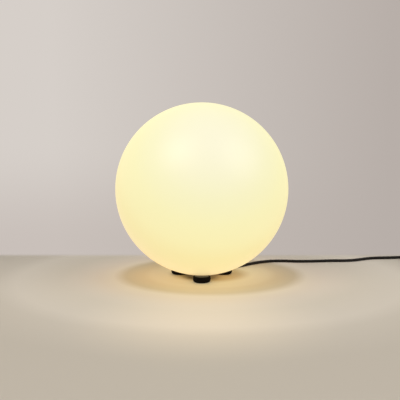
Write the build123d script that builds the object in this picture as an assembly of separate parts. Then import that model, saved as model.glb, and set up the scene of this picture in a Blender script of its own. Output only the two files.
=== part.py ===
from build123d import *
import math
import os

# A garden globe light: a moulded ball that slides down over a black three-footed base, which
# carries an E27 lampholder with an LED lamp. Its two-core lead lies on the ground beside it.
# Millimetres. The origin is on the ground under the middle of the globe, +Z up, -Y to the front.

# ---------------------------------------------------------------- globe
GLOBE_RADIUS = 200.0
GLOBE_WALL = 4.0
GLOBE_UNDERSIDE = 6.4        # lowest point of the ball's sphere above the ground
NECK_BORE = 42.0             # radius of the hole that the base goes up
NECK_WALL = 4.0
NECK_HEIGHT = 22.0           # how far the neck turns up inside the ball
NECK_ROUND = 1.6
SEAT_GAP = 0.3               # between the globe and the lobes that carry it
JOIN = 1.0                   # how far a boss or a wall reaches into what it stands on

# ---------------------------------------------------------------- base pan and its cup
FOOT_ANGLES = {"foot_front": -90.0, "foot_right": 30.0, "foot_left": 150.0}
FOOT_CIRCLE = 61.0
LOBE_UNDERSIDE = 6.5
LOBE_DROP = 0.5              # top of a lobe below the rim of its foot
PAN_FLOOR = 4.8              # thickness of the pan under the middle of the cup
PAN_EDGE = 0.9               # its thickness at the edge of the hub, between the webs
PAN_DISH_START = 20.0        # radius at which its underside begins to rise to that edge
PAN_POCKET_DEPTH = 1.0
PAN_POCKET_INSET = 4.0       # from the start of the dish
WEB_WIDTH = 22.0
BOSS_RADIUS = 16.0
LOBE_ROUND = 6.0
LOBE_CHAMFER = 0.8
CUP_GAP = 2.5                # cup wall inside the neck bore
CUP_WALL = 3.0
CUP_RISE = 7.1               # cup rim above the neck's top
DRAIN_RADIUS = 1.8
DRAIN_CIRCLE = 30.0
DRAIN_ANGLES = (-60.0, 180.0)

# ---------------------------------------------------------------- rubber feet and their screws
FOOT_RADIUS = 20.0
FOOT_HEIGHT = 14.0
FOOT_ROUND = 2.5
FOOT_SOLE_ROUND = 6.0
FOOT_SOCKET_GAP = 0.2
FOOT_WEB_GAP = 2.1           # wide, for the rounded corner between a web and its boss
FOOT_GLOBE_GAP = 0.8
FOOT_RECESS_RADIUS = 6.0
FOOT_RECESS_DEPTH = 4.0
WASHER_RADIUS = 5.5
WASHER_THICK = 1.0
FOOT_SCREW_LENGTH = 9.5
M4_SHANK = 2.0
M4_HEAD = 3.9
M4_HEAD_THICK = 2.2
SCREW_GAP = 0.05             # radial gap between a screw and its hole
SCREW_END_GAP = 0.5          # hole deeper than its screw
HEAD_ROUND = 0.4             # shares of a screw head's height and radius
SLOT_DEPTH = 0.55
SLOT_WIDTH = 0.3

# ---------------------------------------------------------------- neck seal and spring clips
SEAL_SECTION = 1.5           # radius of the rubber ring's section
SEAL_HEIGHT = 6.8            # ring centre above the rim of the neck
SEAL_GAP = 0.3
SEAL_SEAT_GAP = 0.05
SEAL_GROOVE_GAP = 0.1
CLIP_ANGLES = (0.0, 120.0, 240.0)
CLIP_WIDTH = 12.0
CLIP_THICK = 0.6
CLIP_POCKET_DEPTH = 0.8
CLIP_SIDE_GAP = 0.5
CLIP_FOOT = 10.0             # foot of the clip above the rim of the neck
CLIP_FLAT = 7.2
CLIP_BOW = 9.6
CLIP_CREST = (0.35, 0.55)    # shares of the bow between which it is furthest out
CLIP_BEND = 1.8
CLIP_GAP = 0.35              # crest of the clip inside the neck bore, as pressed in
M3_SHANK = 1.5
M3_HEAD = 2.6
M3_HEAD_THICK = 1.6
CLIP_SCREW_LENGTH = 6.0

# ---------------------------------------------------------------- holder plate and its posts
POST_CIRCLE = 29.0
POST_RADIUS = 5.0
RIB_WIDTH = 6.0
PLATE_THICK = 2.5
PLATE_DROP = 1.5             # plate top below the cup rim
PLATE_GAP = 0.5
PLATE_HOLE = 8.0
PLATE_CHAMFER = 0.5
PLATE_SCREW_LENGTH = 10.0

# ---------------------------------------------------------------- lead, its sleeve and its clamp
CORD_RADIUS = 3.7
TUNNEL_AZIMUTH = 60.0
TUNNEL_TILT = 16.0           # the lead slopes down on its way out
TUNNEL_WALL_AT = 8.0         # outer face of the wall that holds the sleeve, from the axis
TUNNEL_WALL = 3.5
TUNNEL_RADIUS = 7.5
TUNNEL_SIDE = 3.0
CORD_RIM_GAP = 2.1           # lead below the rim of the neck
SLEEVE_BORE_GAP = 0.05
CORD_INSET = 2.0             # where the free lead begins, inside the sleeve's mouth
SLEEVE_NECK = 5.0
SLEEVE_NECK_GAP = 0.05
SLEEVE_FLANGE = 6.4
SLEEVE_FLANGE_THICK = 2.0
SLEEVE_SEAT_GAP = 0.3        # round the flange, where it dips into the pan
SLEEVE_ROOT = 5.6
SLEEVE_TIP = 4.5
SLEEVE_LENGTH = 28.0
SLEEVE_GROOVES = 4
SLEEVE_GROOVE_DEPTH = 0.6
SLEEVE_GROOVE_WIDTH = 1.6
CLAMP_AT = -5.5              # middle of the clamp, from the axis towards the back
CLAMP_LENGTH = 7.0
CLAMP_HALF_WIDTH = 13.0
CLAMP_EAR = 2.8
CLAMP_ARCH_WALL = 3.2
CLAMP_DROP = 1.4             # split of the clamp below the lead's centre
CLAMP_SCREW_SPREAD = 9.95
CLAMP_SCREW_LENGTH = 8.0
SHEATH_END = -20.0           # where the sheath is stripped, along the tunnel
CORE_RADIUS = 1.25
CORE_SPREAD = 1.5
CORE_STRAIGHT = 6.5          # run of a core before it turns up
CORE_TURN_AT = -19.5         # where it turns, from the axis towards the back
CORE_TURN_SPREAD = 2.2
CORE_TURN_DROP = 8.0         # below the holder plate
CORE_HOLE_SHARE = 0.6        # where it goes through the plate's hole, as a share of TERMINAL_AT
CORE_HOLE_BACK = 5.0
CORE_HOLE_DROP = 2.0
CORE_HOLE_MIDDLE = -0.4
CORE_ENTRY_RISE = 4.0
CORE_IN_TERMINAL = 3.0

# ---------------------------------------------------------------- lampholder
HOLDER_RADIUS = 19.0
HOLDER_CAVITY = 14.0
HOLDER_CAVITY_HEIGHT = 13.5
HOLDER_FLOOR = 4.0
HOLDER_WELL = 13.2
HOLDER_WELL_DEPTH = 6.0
HOLDER_COLLAR = 17.0
HOLDER_SHOULDER = 1.5        # shoulder above the well's floor, where the skirt stands
HOLDER_SEAT_LIP = 1.0
SKIRT_RADIUS = 20.5
SKIRT_GAP = 0.25
SKIRT_CAVITY_GAP = 0.3
SKIRT_LIP = 2.0
SKIRT_MOUTH = 13.9
SKIRT_RIBS = 24
SKIRT_RIB_DEPTH = 0.7
SKIRT_RIB_STOP = 6.0         # top of the ribs below the top of the brass shell
SKIRT_ROUND = 1.5
SHELL_RADIUS = 14.6
SHELL_HEIGHT = 25.0
SHELL_FLANGE_BORE = 11.3
SHELL_FLANGE_THICK = 0.8
SHELL_GAP = 0.2
HOLDER_SCREW_CIRCLE = 16.5
HOLDER_SCREW_LENGTH = 10.0
TERMINAL_AT = 9.0
TERMINAL_SIZE = (6.0, 8.0, 7.0)
TERMINAL_BORE_GAP = 0.1
TERMINAL_ROOF = 1.0
TERMINAL_SCREW_RISE = 2.0    # its screw above the foot of the block
TERMINAL_SCREW_HEAD = 2.34
RIVET_JOIN = 0.5
CONTACT_WIDTH = 5.0
CONTACT_THICK = 0.5
CONTACT_HEIGHT = 7.4
CONTACT_BEND = 1.2
CONTACT_TOE = 1.5            # foot of the centre contact past its rivet
CONTACT_HEEL = 7.5
CONTACT_PAD = 4.0            # half the length of its flat top
SIDE_CONTACT_TOE = 0.6
SIDE_CONTACT_BEND = 0.6
SIDE_CONTACT_WALL_GAP = 0.65

# ---------------------------------------------------------------- E27 thread
THREAD_PITCH = 3.629
THREAD_CREST = 13.1          # the lamp cap's thread, outside
THREAD_ROOT = 12.05
THREAD_GAP = 0.35            # radial gap to the holder's thread
THREAD_EMBED = 0.15
CAP_CREST_HALF = 0.45
CAP_FLANK = 0.85
HOLDER_CREST_HALF = 0.4
HOLDER_FLANK = 0.8
HOLDER_TURNS = 5.6
CAP_TURNS = 4.0
CAP_THREAD_LEAD = 2.5        # pitches from the holder's first turn to the cap's
HOLDER_THREAD_START = 2.5    # above the shell's foot

# ---------------------------------------------------------------- lamp
TIP_CONTACT_GAP = 0.05
TIP_RADIUS = 4.5
TIP_HEIGHT = 3.2
TIP_ROUND = 1.2
INSULATOR_RISE = 1.4         # foot of the dark ring above the lamp's tip
INSULATOR_EDGE = 1.2
INSULATOR_TOP = 10.2
CAP_WALL = 0.75
CAP_HEIGHT = 21.0
CAP_TURN_IN = 0.6
CAP_FOOT_BEVEL = 0.8
CAP_FOOT_THICK = 1.2
CAP_FLARE = 0.95             # its top, where it grips the lamp's body, outside the thread's root
CAP_FLARE_HEIGHTS = (1.5, 0.6)
TURN_GAP = 0.25              # between the lamp's turning cap and its contact
CAP_LIFT = 6.3               # foot of the cap above the tip of the lamp
BULB_NECK = 13.4
BULB_NECK_HEIGHT = 3.0
BULB_CONE_HEIGHT = 35.0
BULB_WAIST = 0.42            # share of the cone's flare that is reached at half its height
BULB_SPIGOT_LENGTH = 8.0
BULB_SPIGOT_WALL = 1.2
BULB_RIM = 28.4
BULB_RIM_HEIGHT = 3.0
BULB_WALL = 2.6
BULB_NECK_WALL = 3.2
BULB_RIM_WALL = 1.4
BULB_LEDGE = 23.9            # inside radius of the ledge that carries the board
BULB_LEDGE_THICK = 3.0
DIFFUSER_RADIUS = 30.0
DIFFUSER_WALL = 1.5
DIFFUSER_LIFT = 12.0         # centre of the dome above the rim of the lamp's body
DIFFUSER_SPIGOT = 2.5
DIFFUSER_TURN_IN = 1.0
BULB_FIT = 0.2
BOARD_THICK = 1.6
BOARD_HOLE = 1.5
LED_COUNT = 12
LED_CIRCLE = 17.0
LED_SIZE = (3.0, 3.0, 0.8)
DRIVER_SIZE = (17.0, 1.6, 34.0)
DRIVER_DROP = 6.0            # foot of the upright board below the top of the cap
CAPACITOR_RADIUS = 3.6
CAPACITOR_LENGTH = 7.0
CAPACITOR_AT = (-3.0, 25.0)  # on the upright board, from its middle and its foot
CHOKE_SIZE = (8.0, 6.0, 8.0)
CHOKE_AT = (1.0, 8.0)

# ---------------------------------------------------------------- free lead, coil and plug
GROUND_GAP = 0.1
COIL_CENTRE = (592.0, 177.0)
COIL_RADIUS = 50.0
COIL_TURNS = 5
COIL_STEP = 8.0              # sideways, from turn to turn
COIL_LAYER = 7.9             # upwards, from layer to layer
COIL_BULGE = 1.0             # outwards, where the spiral reverses
COIL_CLIMB = 20.5            # rise, in a turn's time, where it reverses
TIE_THICK = 0.8
TIE_WIDTH = 9.0
TIE_GAP = 0.1
TIE_EASE = 0.2               # between a tie and the turns
TIE_CORNER = 3.0
TIE_ANGLES = (20.0, 200.0)
COIL_HEIGHT = TIE_THICK + TIE_GAP + CORD_RADIUS
PLUG_FACE_AT = (694.0, 84.0)  # middle of the plug's face, on the ground; the pins point to -Y
PLUG_WIDTH = 37.0
PLUG_THICK = 26.0
PLUG_LENGTH = 42.0
PLUG_CORNER = 8.0
PLUG_STRAIGHT = 16.0         # from the face to where the body narrows
PLUG_SHOULDER_AT = 30.0
PLUG_SHOULDER = (26.64, 21.32, 7.5)  # width, thickness and corner there
PLUG_NECK = (15.4, 15.4, 6.5)        # the same where the sleeve begins
PLUG_FACE_ROUND = 1.5
PLUG_SLEEVE_LENGTH = 26.0
PLUG_SLEEVE_ROOT = 6.2
PLUG_SLEEVE_TIP = 4.8
PLUG_CORD_DEPTH = 6.0
PLUG_GROOVE_START = 4.0
PLUG_GROOVE_FLOOR = 4.5
PIN_RADIUS = 2.4
PIN_LENGTH = 19.0
PIN_SPACING = 19.0
PIN_TIP = 1.2
PIN_EMBED = 10.0
PIN_ROOT = 2.0               # radius of the pin inside the body

# ---------------------------------------------------------------- heights and places that follow
GLOBE_CENTRE = GLOBE_UNDERSIDE + GLOBE_RADIUS


def ball_height(radius, sphere=GLOBE_RADIUS):
    """Height of a sphere's underside about the globe's centre, at a radius from the axis."""
    return GLOBE_CENTRE - math.sqrt(sphere ** 2 - radius ** 2)


RIM_HEIGHT = ball_height(NECK_BORE)
NECK_TOP = RIM_HEIGHT + NECK_HEIGHT
CUP_FLOOR = LOBE_UNDERSIDE + PAN_FLOOR
CUP_RADIUS = NECK_BORE - CUP_GAP
CUP_INSIDE = CUP_RADIUS - CUP_WALL
CUP_TOP = NECK_TOP + CUP_RISE
LOBE_TOP = FOOT_HEIGHT - LOBE_DROP
PLATE_TOP = CUP_TOP - PLATE_DROP
PLATE_UNDERSIDE = PLATE_TOP - PLATE_THICK
SEAL_Z = RIM_HEIGHT + SEAL_HEIGHT
SEAL_RADIUS = NECK_BORE - SEAL_GAP - SEAL_SECTION
CLIP_Z = RIM_HEIGHT + CLIP_FOOT
CLIP_INSIDE = CUP_RADIUS - CLIP_POCKET_DEPTH
CLIP_SCREW_Z = CLIP_Z + CLIP_FLAT / 2

TILT = math.radians(TUNNEL_TILT)
AZIMUTH = math.radians(TUNNEL_AZIMUTH)
CORD_RIM_HEIGHT = RIM_HEIGHT - CORD_RIM_GAP - CORD_RADIUS / math.cos(TILT)
TUNNEL_HEIGHT = CORD_RIM_HEIGHT + (NECK_BORE - TUNNEL_WALL_AT) * math.tan(TILT)
TUNNEL_ROOF = TUNNEL_HEIGHT + TUNNEL_RADIUS / math.cos(TILT) + TUNNEL_SIDE
OUTWARDS = Vector(math.cos(AZIMUTH), math.sin(AZIMUTH), 0)
SIDEWAYS = Vector(-math.sin(AZIMUTH), math.cos(AZIMUTH), 0)
# the tunnel's own axes: X sideways, Y up, Z along the lead on its way out
TUNNEL = Plane(
    origin=OUTWARDS * TUNNEL_WALL_AT + Vector(0, 0, TUNNEL_HEIGHT),
    x_dir=SIDEWAYS,
    z_dir=OUTWARDS * math.cos(TILT) - Vector(0, 0, math.sin(TILT)),
)
CLAMP_Z = TUNNEL_HEIGHT + (TUNNEL_WALL_AT - CLAMP_AT) * math.tan(TILT)
CLAMP_SPLIT = CLAMP_Z - CLAMP_DROP

TERMINAL_TOP = PLATE_TOP + HOLDER_CAVITY_HEIGHT
WELL_FLOOR = TERMINAL_TOP + HOLDER_FLOOR
SKIRT_FOOT = WELL_FLOOR + HOLDER_SHOULDER
SHELL_FOOT = WELL_FLOOR + HOLDER_WELL_DEPTH
COLLAR_TOP = SHELL_FOOT + HOLDER_SEAT_LIP
SHELL_TOP = SHELL_FOOT + SHELL_HEIGHT
SKIRT_TOP = SHELL_TOP + SHELL_GAP + SKIRT_LIP
HOLDER_CREST = THREAD_ROOT + THREAD_GAP
HOLDER_ROOT = THREAD_CREST + THREAD_GAP
HOLDER_THREAD_Z = SHELL_FOOT + HOLDER_THREAD_START
CAP_THREAD_Z = HOLDER_THREAD_Z + CAP_THREAD_LEAD * THREAD_PITCH

TIP_Z = WELL_FLOOR + CONTACT_HEIGHT + CONTACT_THICK / 2 + TIP_CONTACT_GAP
CAP_FOOT = TIP_Z + CAP_LIFT
CAP_TOP = CAP_FOOT + CAP_HEIGHT
CONE_FOOT = CAP_TOP + BULB_NECK_HEIGHT
CONE_TOP = CONE_FOOT + BULB_CONE_HEIGHT
RIM_TOP = CONE_TOP + BULB_RIM_HEIGHT
DOME_CENTRE = RIM_TOP + DIFFUSER_LIFT
LED_BOARD_Z = RIM_TOP - DIFFUSER_SPIGOT - BOARD_THICK

FLAT = CORD_RADIUS + GROUND_GAP  # height of the lead's centre where it lies on the ground
PLUG_AXIS = PLUG_THICK / 2
PLUG_ENTRY = PLUG_FACE_AT[1] + PLUG_LENGTH + PLUG_SLEEVE_LENGTH  # y of the sleeve's tip

# The lead's route on the ground, from the mouth of its sleeve to the coil, chosen by eye
CORD_ROUTE = [
    tuple(TUNNEL.origin + TUNNEL.z_dir * (SLEEVE_LENGTH - CORD_INSET)),
    tuple(TUNNEL.origin + TUNNEL.z_dir * ((TUNNEL_HEIGHT - FLAT) / math.sin(TILT))),
    (43, 70, FLAT),
    (72, 90, FLAT),
    (104, 114, FLAT),
    (136, 148, FLAT),
    (172, 174, FLAT),
    (212, 179, FLAT),
    (252, 171, FLAT),
    (298, 173, FLAT),
    (346, 182, FLAT),
    (386, 180, FLAT),
    (420, 196, FLAT),
    (456, 219, FLAT),
    (498, 224, FLAT),
    (546, COIL_CENTRE[1] + COIL_RADIUS, COIL_HEIGHT),
    (COIL_CENTRE[0] - 2 * CORD_RADIUS, COIL_CENTRE[1] + COIL_RADIUS, COIL_HEIGHT),
]
# From the top of the coil round to the plug
TAIL_ROUTE = [
    (COIL_CENTRE[0] + 2 * CORD_RADIUS, COIL_CENTRE[1] + COIL_RADIUS, COIL_HEIGHT + COIL_LAYER),
    (628, COIL_CENTRE[1] + COIL_RADIUS, COIL_HEIGHT + COIL_LAYER),
    (662, 220, 10.0),
    (686, 196, 9.0),
    (PLUG_FACE_AT[0], 170, PLUG_AXIS),
    (PLUG_FACE_AT[0], PLUG_ENTRY - PLUG_CORD_DEPTH, PLUG_AXIS),
]

STAND = (Align.CENTER, Align.CENTER, Align.MIN)


# ---------------------------------------------------------------- shapes used throughout
def rod(radius, low, high, x=0.0, y=0.0):
    """An upright cylinder between two heights."""
    return Pos(x, y, low) * Cylinder(radius, high - low, align=STAND)


def pipe(outer, inner, low, high):
    """An upright pipe about the lamp's axis."""
    return rod(outer, low, high) - rod(inner, low, high)


def slab(width, depth, low, high, x=0.0, y=0.0):
    """An upright rectangular block between two heights."""
    return Pos(x, y, low) * Box(width, depth, high - low, align=STAND)


def at_angle(angle, solid):
    """A solid turned about the lamp's axis."""
    return Rot(0, 0, angle) * solid


def at_radius(angle, radius):
    """The x and y of a point at an angle and a radius from the axis."""
    return radius * math.cos(math.radians(angle)), radius * math.sin(math.radians(angle))


def ball(radius):
    """A sphere about the globe's centre."""
    return Pos(0, 0, GLOBE_CENTRE) * Sphere(radius)


def turned(*curves):
    """A solid of revolution about the lamp's axis, from curves in the XZ plane."""
    return revolve(make_face(Curve() + list(curves)), Axis.Z)


def profile(*points):
    """A solid of revolution from a straight-sided outline of (radius, height) points."""
    return turned(Polyline(*[(r, 0, z) for r, z in points], close=True))


def along_tunnel(radius, start, end):
    """A round bar on the tunnel's axis."""
    return TUNNEL.location * (Pos(0, 0, start) * Cylinder(radius, end - start, align=STAND))


def screw(shank, length, head, head_thick):
    """A pan head screw, its shank down from the origin and its head above, with a cross slot."""
    body = rod(shank, -length, 0) + rod(head, 0, head_thick)
    body = fillet(body.edges().group_by(Axis.Z)[-1], head_thick * HEAD_ROUND)
    slot_floor = head_thick * (1 - SLOT_DEPTH)
    for angle in (0, 90):
        body -= at_angle(angle, slab(head * 1.1, head * SLOT_WIDTH, slot_floor, head_thick + 1))
    return body


def leaf(points, bend, thick, width):
    """A bent strip, from (radius, height) points along its middle, centred on the XZ plane."""
    strip = extrude(trace(FilletPolyline(*points, radius=bend), thick), width)
    return Rot(90, 0, 0) * Pos(0, 0, -width / 2) * strip


def group(solids):
    """Separate like solids kept together as one node."""
    return Compound(children=[Solid(s.wrapped) if isinstance(s, Solid) else s.solid() for s in solids])


# ---------------------------------------------------------------- globe
def globe_shell():
    outer_low = ball_height(NECK_BORE)
    neck_outside = NECK_BORE + NECK_WALL
    inner = GLOBE_RADIUS - GLOBE_WALL
    inner_low = ball_height(neck_outside, inner)
    outline = Curve() + [
        ThreePointArc(
            (0, 0, GLOBE_CENTRE + GLOBE_RADIUS),
            (GLOBE_RADIUS, 0, GLOBE_CENTRE),
            (NECK_BORE, 0, outer_low),
        ),
        Polyline((NECK_BORE, 0, outer_low), (NECK_BORE, 0, NECK_TOP), (neck_outside, 0, NECK_TOP),
                 (neck_outside, 0, inner_low)),
        ThreePointArc(
            (neck_outside, 0, inner_low),
            (inner, 0, GLOBE_CENTRE),
            (0, 0, GLOBE_CENTRE + inner),
        ),
        Line((0, 0, GLOBE_CENTRE + inner), (0, 0, GLOBE_CENTRE + GLOBE_RADIUS)),
    ]
    shell = revolve(make_face(outline), Axis.Z)
    round_edges = [e for e in shell.edges().filter_by(GeomType.CIRCLE)
                   if e.radius < neck_outside + 0.1 and e.length > neck_outside]
    return fillet(round_edges, NECK_ROUND)


# ---------------------------------------------------------------- base
def tunnel_cut():
    """What the tunnel takes out of the base: a round roof, open to the ground."""
    depth = TUNNEL_ROOF
    outline = Circle(TUNNEL_RADIUS) + Pos(0, -depth / 2) * Rectangle(2 * TUNNEL_RADIUS, depth)
    return TUNNEL.location * extrude(outline, 2 * NECK_BORE)


def tunnel_block():
    """The housing over the tunnel, from the wall that holds the sleeve to the cup's wall."""
    half = TUNNEL_RADIUS + TUNNEL_SIDE
    housing = at_angle(TUNNEL_AZIMUTH, slab(NECK_BORE, 2 * half, CUP_FLOOR - JOIN, TUNNEL_ROOF,
                                            NECK_BORE / 2))
    behind_wall = TUNNEL.location * (Pos(0, 0, -TUNNEL_WALL) * Box(
        6 * half, 6 * half, 2 * NECK_BORE, align=(Align.CENTER, Align.CENTER, Align.MAX)))
    return (housing & rod(CUP_RADIUS, 0, CUP_TOP)) - behind_wall


def clamp_cradle():
    """The block under the lead that the clamp screws down on."""
    cradle = slab(CLAMP_LENGTH, 2 * CLAMP_HALF_WIDTH, CUP_FLOOR - JOIN, CLAMP_SPLIT, CLAMP_AT)
    return at_angle(TUNNEL_AZIMUTH, cradle)


def clamp_screw_places():
    """The x and y of the clamp's two screws."""
    places = [OUTWARDS * CLAMP_AT + SIDEWAYS * (side * CLAMP_SCREW_SPREAD) for side in (-1, 1)]
    return [(place.X, place.Y) for place in places]


def hub_dish():
    """The cone that rises under the hub to its thin edge, between the webs."""
    slope = (CUP_FLOOR - PAN_EDGE - LOBE_UNDERSIDE) / (CUP_RADIUS - PAN_DISH_START)
    outer = CUP_RADIUS + JOIN
    outer_top = LOBE_UNDERSIDE + slope * (outer - PAN_DISH_START)
    dish = profile((PAN_DISH_START, 0), (outer, 0), (outer, outer_top), (PAN_DISH_START, LOBE_UNDERSIDE))
    for angle in FOOT_ANGLES.values():
        dish -= at_angle(angle, slab(2 * outer, WEB_WIDTH + 2 * LOBE_ROUND, 0, CUP_FLOOR, outer))
    return dish


def base_plate():
    plan = Circle(CUP_RADIUS)
    for angle in FOOT_ANGLES.values():
        plan += Rot(0, 0, angle) * Pos(FOOT_CIRCLE / 2, 0) * Rectangle(FOOT_CIRCLE, WEB_WIDTH)
        plan += Pos(*at_radius(angle, FOOT_CIRCLE)) * Circle(BOSS_RADIUS)
    plan = plan.face()
    plan = fillet(plan.vertices(), LOBE_ROUND)
    body = Pos(0, 0, LOBE_UNDERSIDE) * extrude(plan, LOBE_TOP - LOBE_UNDERSIDE)
    body -= ball(GLOBE_RADIUS + SEAT_GAP) - rod(NECK_BORE, 0, CUP_TOP)
    body -= rod(NECK_BORE + NECK_ROUND, CUP_FLOOR, CUP_TOP + 1)
    body = chamfer(body.edges().group_by(Axis.Z)[0], LOBE_CHAMFER)

    # cup, posts, tunnel housing and clamp cradle stand on the pan
    body += pipe(CUP_RADIUS, CUP_INSIDE, CUP_FLOOR - JOIN, CUP_TOP)
    rib_length = CUP_INSIDE + JOIN - POST_CIRCLE
    for angle in CLIP_ANGLES:
        body += rod(POST_RADIUS, CUP_FLOOR - JOIN, PLATE_UNDERSIDE, *at_radius(angle, POST_CIRCLE))
        body += at_angle(angle, slab(rib_length, RIB_WIDTH, CUP_FLOOR - JOIN, PLATE_UNDERSIDE,
                                     POST_CIRCLE + rib_length / 2))
    body += tunnel_block()
    body += clamp_cradle()
    body -= hub_dish()

    # the lead's way through, with a seat for the sleeve's inner flange
    body -= tunnel_cut()
    seat_back = -TUNNEL_WALL - SLEEVE_FLANGE_THICK - SLEEVE_SEAT_GAP
    body -= along_tunnel(SLEEVE_FLANGE + SLEEVE_SEAT_GAP, seat_back, -TUNNEL_WALL)
    body -= along_tunnel(SLEEVE_NECK + SLEEVE_NECK_GAP, -TUNNEL_WALL - 1, 1)
    body -= along_tunnel(CORD_RADIUS + SLEEVE_BORE_GAP, SHEATH_END, -TUNNEL_WALL)

    # groove for the seal, pockets for the clips, and the pocket under the pan
    groove = SEAL_SECTION + SEAL_GROOVE_GAP
    groove_floor = SEAL_RADIUS - SEAL_SECTION - SEAL_SEAT_GAP
    body -= pipe(CUP_RADIUS + 1, groove_floor, SEAL_Z - groove, SEAL_Z + groove)
    pocket_width = CLIP_WIDTH + 2 * CLIP_SIDE_GAP
    pocket = slab(CUP_WALL, pocket_width, CLIP_Z - CLIP_SIDE_GAP, CUP_TOP + 1, CLIP_INSIDE + CUP_WALL / 2)
    for angle in CLIP_ANGLES:
        body -= at_angle(angle, pocket)
    under = PAN_DISH_START - PAN_POCKET_INSET
    body -= rod(under, LOBE_UNDERSIDE, LOBE_UNDERSIDE + PAN_POCKET_DEPTH)

    # screw holes and drains
    for angle in FOOT_ANGLES.values():
        hole_top = FOOT_RECESS_DEPTH - WASHER_THICK + FOOT_SCREW_LENGTH + SCREW_END_GAP
        body -= rod(M4_SHANK + SCREW_GAP, 0, hole_top, *at_radius(angle, FOOT_CIRCLE))
    for angle in CLIP_ANGLES:
        body -= rod(M3_SHANK + SCREW_GAP, PLATE_TOP - PLATE_SCREW_LENGTH - SCREW_END_GAP, CUP_TOP,
                    *at_radius(angle, POST_CIRCLE))
        depth = CLIP_SCREW_LENGTH - CLIP_THICK + SCREW_END_GAP
        body -= at_angle(angle, Pos(CLIP_INSIDE, 0, CLIP_SCREW_Z) * Rot(0, -90, 0) * rod(
            M3_SHANK + SCREW_GAP, 0, depth))
    for x, y in clamp_screw_places():
        hole_foot = CLAMP_SPLIT + CLAMP_EAR - CLAMP_SCREW_LENGTH - SCREW_END_GAP
        body -= rod(M3_SHANK + SCREW_GAP, hole_foot, CUP_TOP, x, y)
    for angle in DRAIN_ANGLES:
        body -= rod(DRAIN_RADIUS, 0, CUP_FLOOR + 1, *at_radius(angle, DRAIN_CIRCLE))
    return body


def neck_seal():
    return Pos(0, 0, SEAL_Z) * Torus(SEAL_RADIUS, SEAL_SECTION)


def spring_clip():
    """A leaf spring, flat at its foot, bowed out to the neck and turned in at its top."""
    crest = math.sqrt((NECK_BORE - CLIP_GAP) ** 2 - (CLIP_WIDTH / 2) ** 2) - CLIP_THICK / 2
    root = CLIP_INSIDE + CLIP_THICK / 2
    flat_top = CLIP_Z + CLIP_FLAT
    strip = leaf([
        (root, CLIP_Z),
        (root, flat_top),
        (crest, flat_top + CLIP_BOW * CLIP_CREST[0]),
        (crest, flat_top + CLIP_BOW * CLIP_CREST[1]),
        (root, flat_top + CLIP_BOW),
    ], CLIP_BEND, CLIP_THICK, CLIP_WIDTH)
    hole = rod(M3_SHANK + SCREW_GAP, 0, 2 * CLIP_THICK)
    return strip - Pos(root - CLIP_THICK, 0, CLIP_SCREW_Z) * Rot(0, 90, 0) * hole


def clip_screws():
    one = Pos(CLIP_INSIDE + CLIP_THICK, 0, CLIP_SCREW_Z) * Rot(0, 90, 0) * screw(
        M3_SHANK, CLIP_SCREW_LENGTH, M3_HEAD, M3_HEAD_THICK)
    return group([at_angle(angle, one) for angle in CLIP_ANGLES])


def holder_plate():
    plate = rod(CUP_INSIDE - PLATE_GAP, PLATE_UNDERSIDE, PLATE_TOP) - rod(PLATE_HOLE, 0, CUP_TOP)
    plate = chamfer(plate.edges().group_by(Axis.Z)[-1], PLATE_CHAMFER)
    for angle in CLIP_ANGLES:
        plate -= rod(M3_SHANK + SCREW_GAP, 0, CUP_TOP, *at_radius(angle, POST_CIRCLE))
    for side in (-1, 1):
        plate -= rod(M3_SHANK + SCREW_GAP, 0, CUP_TOP, 0, side * HOLDER_SCREW_CIRCLE)
    return plate


def holder_plate_screws():
    one = screw(M3_SHANK, PLATE_SCREW_LENGTH, M3_HEAD, M3_HEAD_THICK)
    return group([Pos(*at_radius(angle, POST_CIRCLE), PLATE_TOP) * one for angle in CLIP_ANGLES])


# ---------------------------------------------------------------- feet
def foot():
    """A rubber cup pushed up over the end of a lobe, made at angle 0."""
    puck = rod(FOOT_RADIUS, 0, FOOT_HEIGHT, FOOT_CIRCLE)
    puck = fillet(puck.edges().group_by(Axis.Z)[0], FOOT_SOLE_ROUND)
    puck = fillet(puck.edges().group_by(Axis.Z)[-1], FOOT_ROUND)
    puck -= rod(BOSS_RADIUS + FOOT_SOCKET_GAP, LOBE_UNDERSIDE, FOOT_HEIGHT + 1, FOOT_CIRCLE)
    puck -= slab(FOOT_CIRCLE, WEB_WIDTH + 2 * FOOT_WEB_GAP, LOBE_UNDERSIDE, FOOT_HEIGHT + 1,
                 FOOT_CIRCLE / 2)
    puck -= ball(GLOBE_RADIUS + FOOT_GLOBE_GAP)
    puck -= rod(FOOT_RECESS_RADIUS, -1, FOOT_RECESS_DEPTH, FOOT_CIRCLE)
    return puck - rod(M4_SHANK + 4 * SCREW_GAP, 0, FOOT_HEIGHT, FOOT_CIRCLE)


def foot_washers():
    low = FOOT_RECESS_DEPTH - WASHER_THICK
    one = rod(WASHER_RADIUS, low, FOOT_RECESS_DEPTH, FOOT_CIRCLE) - rod(
        M4_SHANK + 2 * SCREW_GAP, 0, FOOT_HEIGHT, FOOT_CIRCLE)
    return group([at_angle(angle, one) for angle in FOOT_ANGLES.values()])


def foot_screws():
    seat = FOOT_RECESS_DEPTH - WASHER_THICK
    one = Pos(FOOT_CIRCLE, 0, seat) * Rot(180, 0, 0) * screw(
        M4_SHANK, FOOT_SCREW_LENGTH, M4_HEAD, M4_HEAD_THICK)
    return group([at_angle(angle, one) for angle in FOOT_ANGLES.values()])


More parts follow.
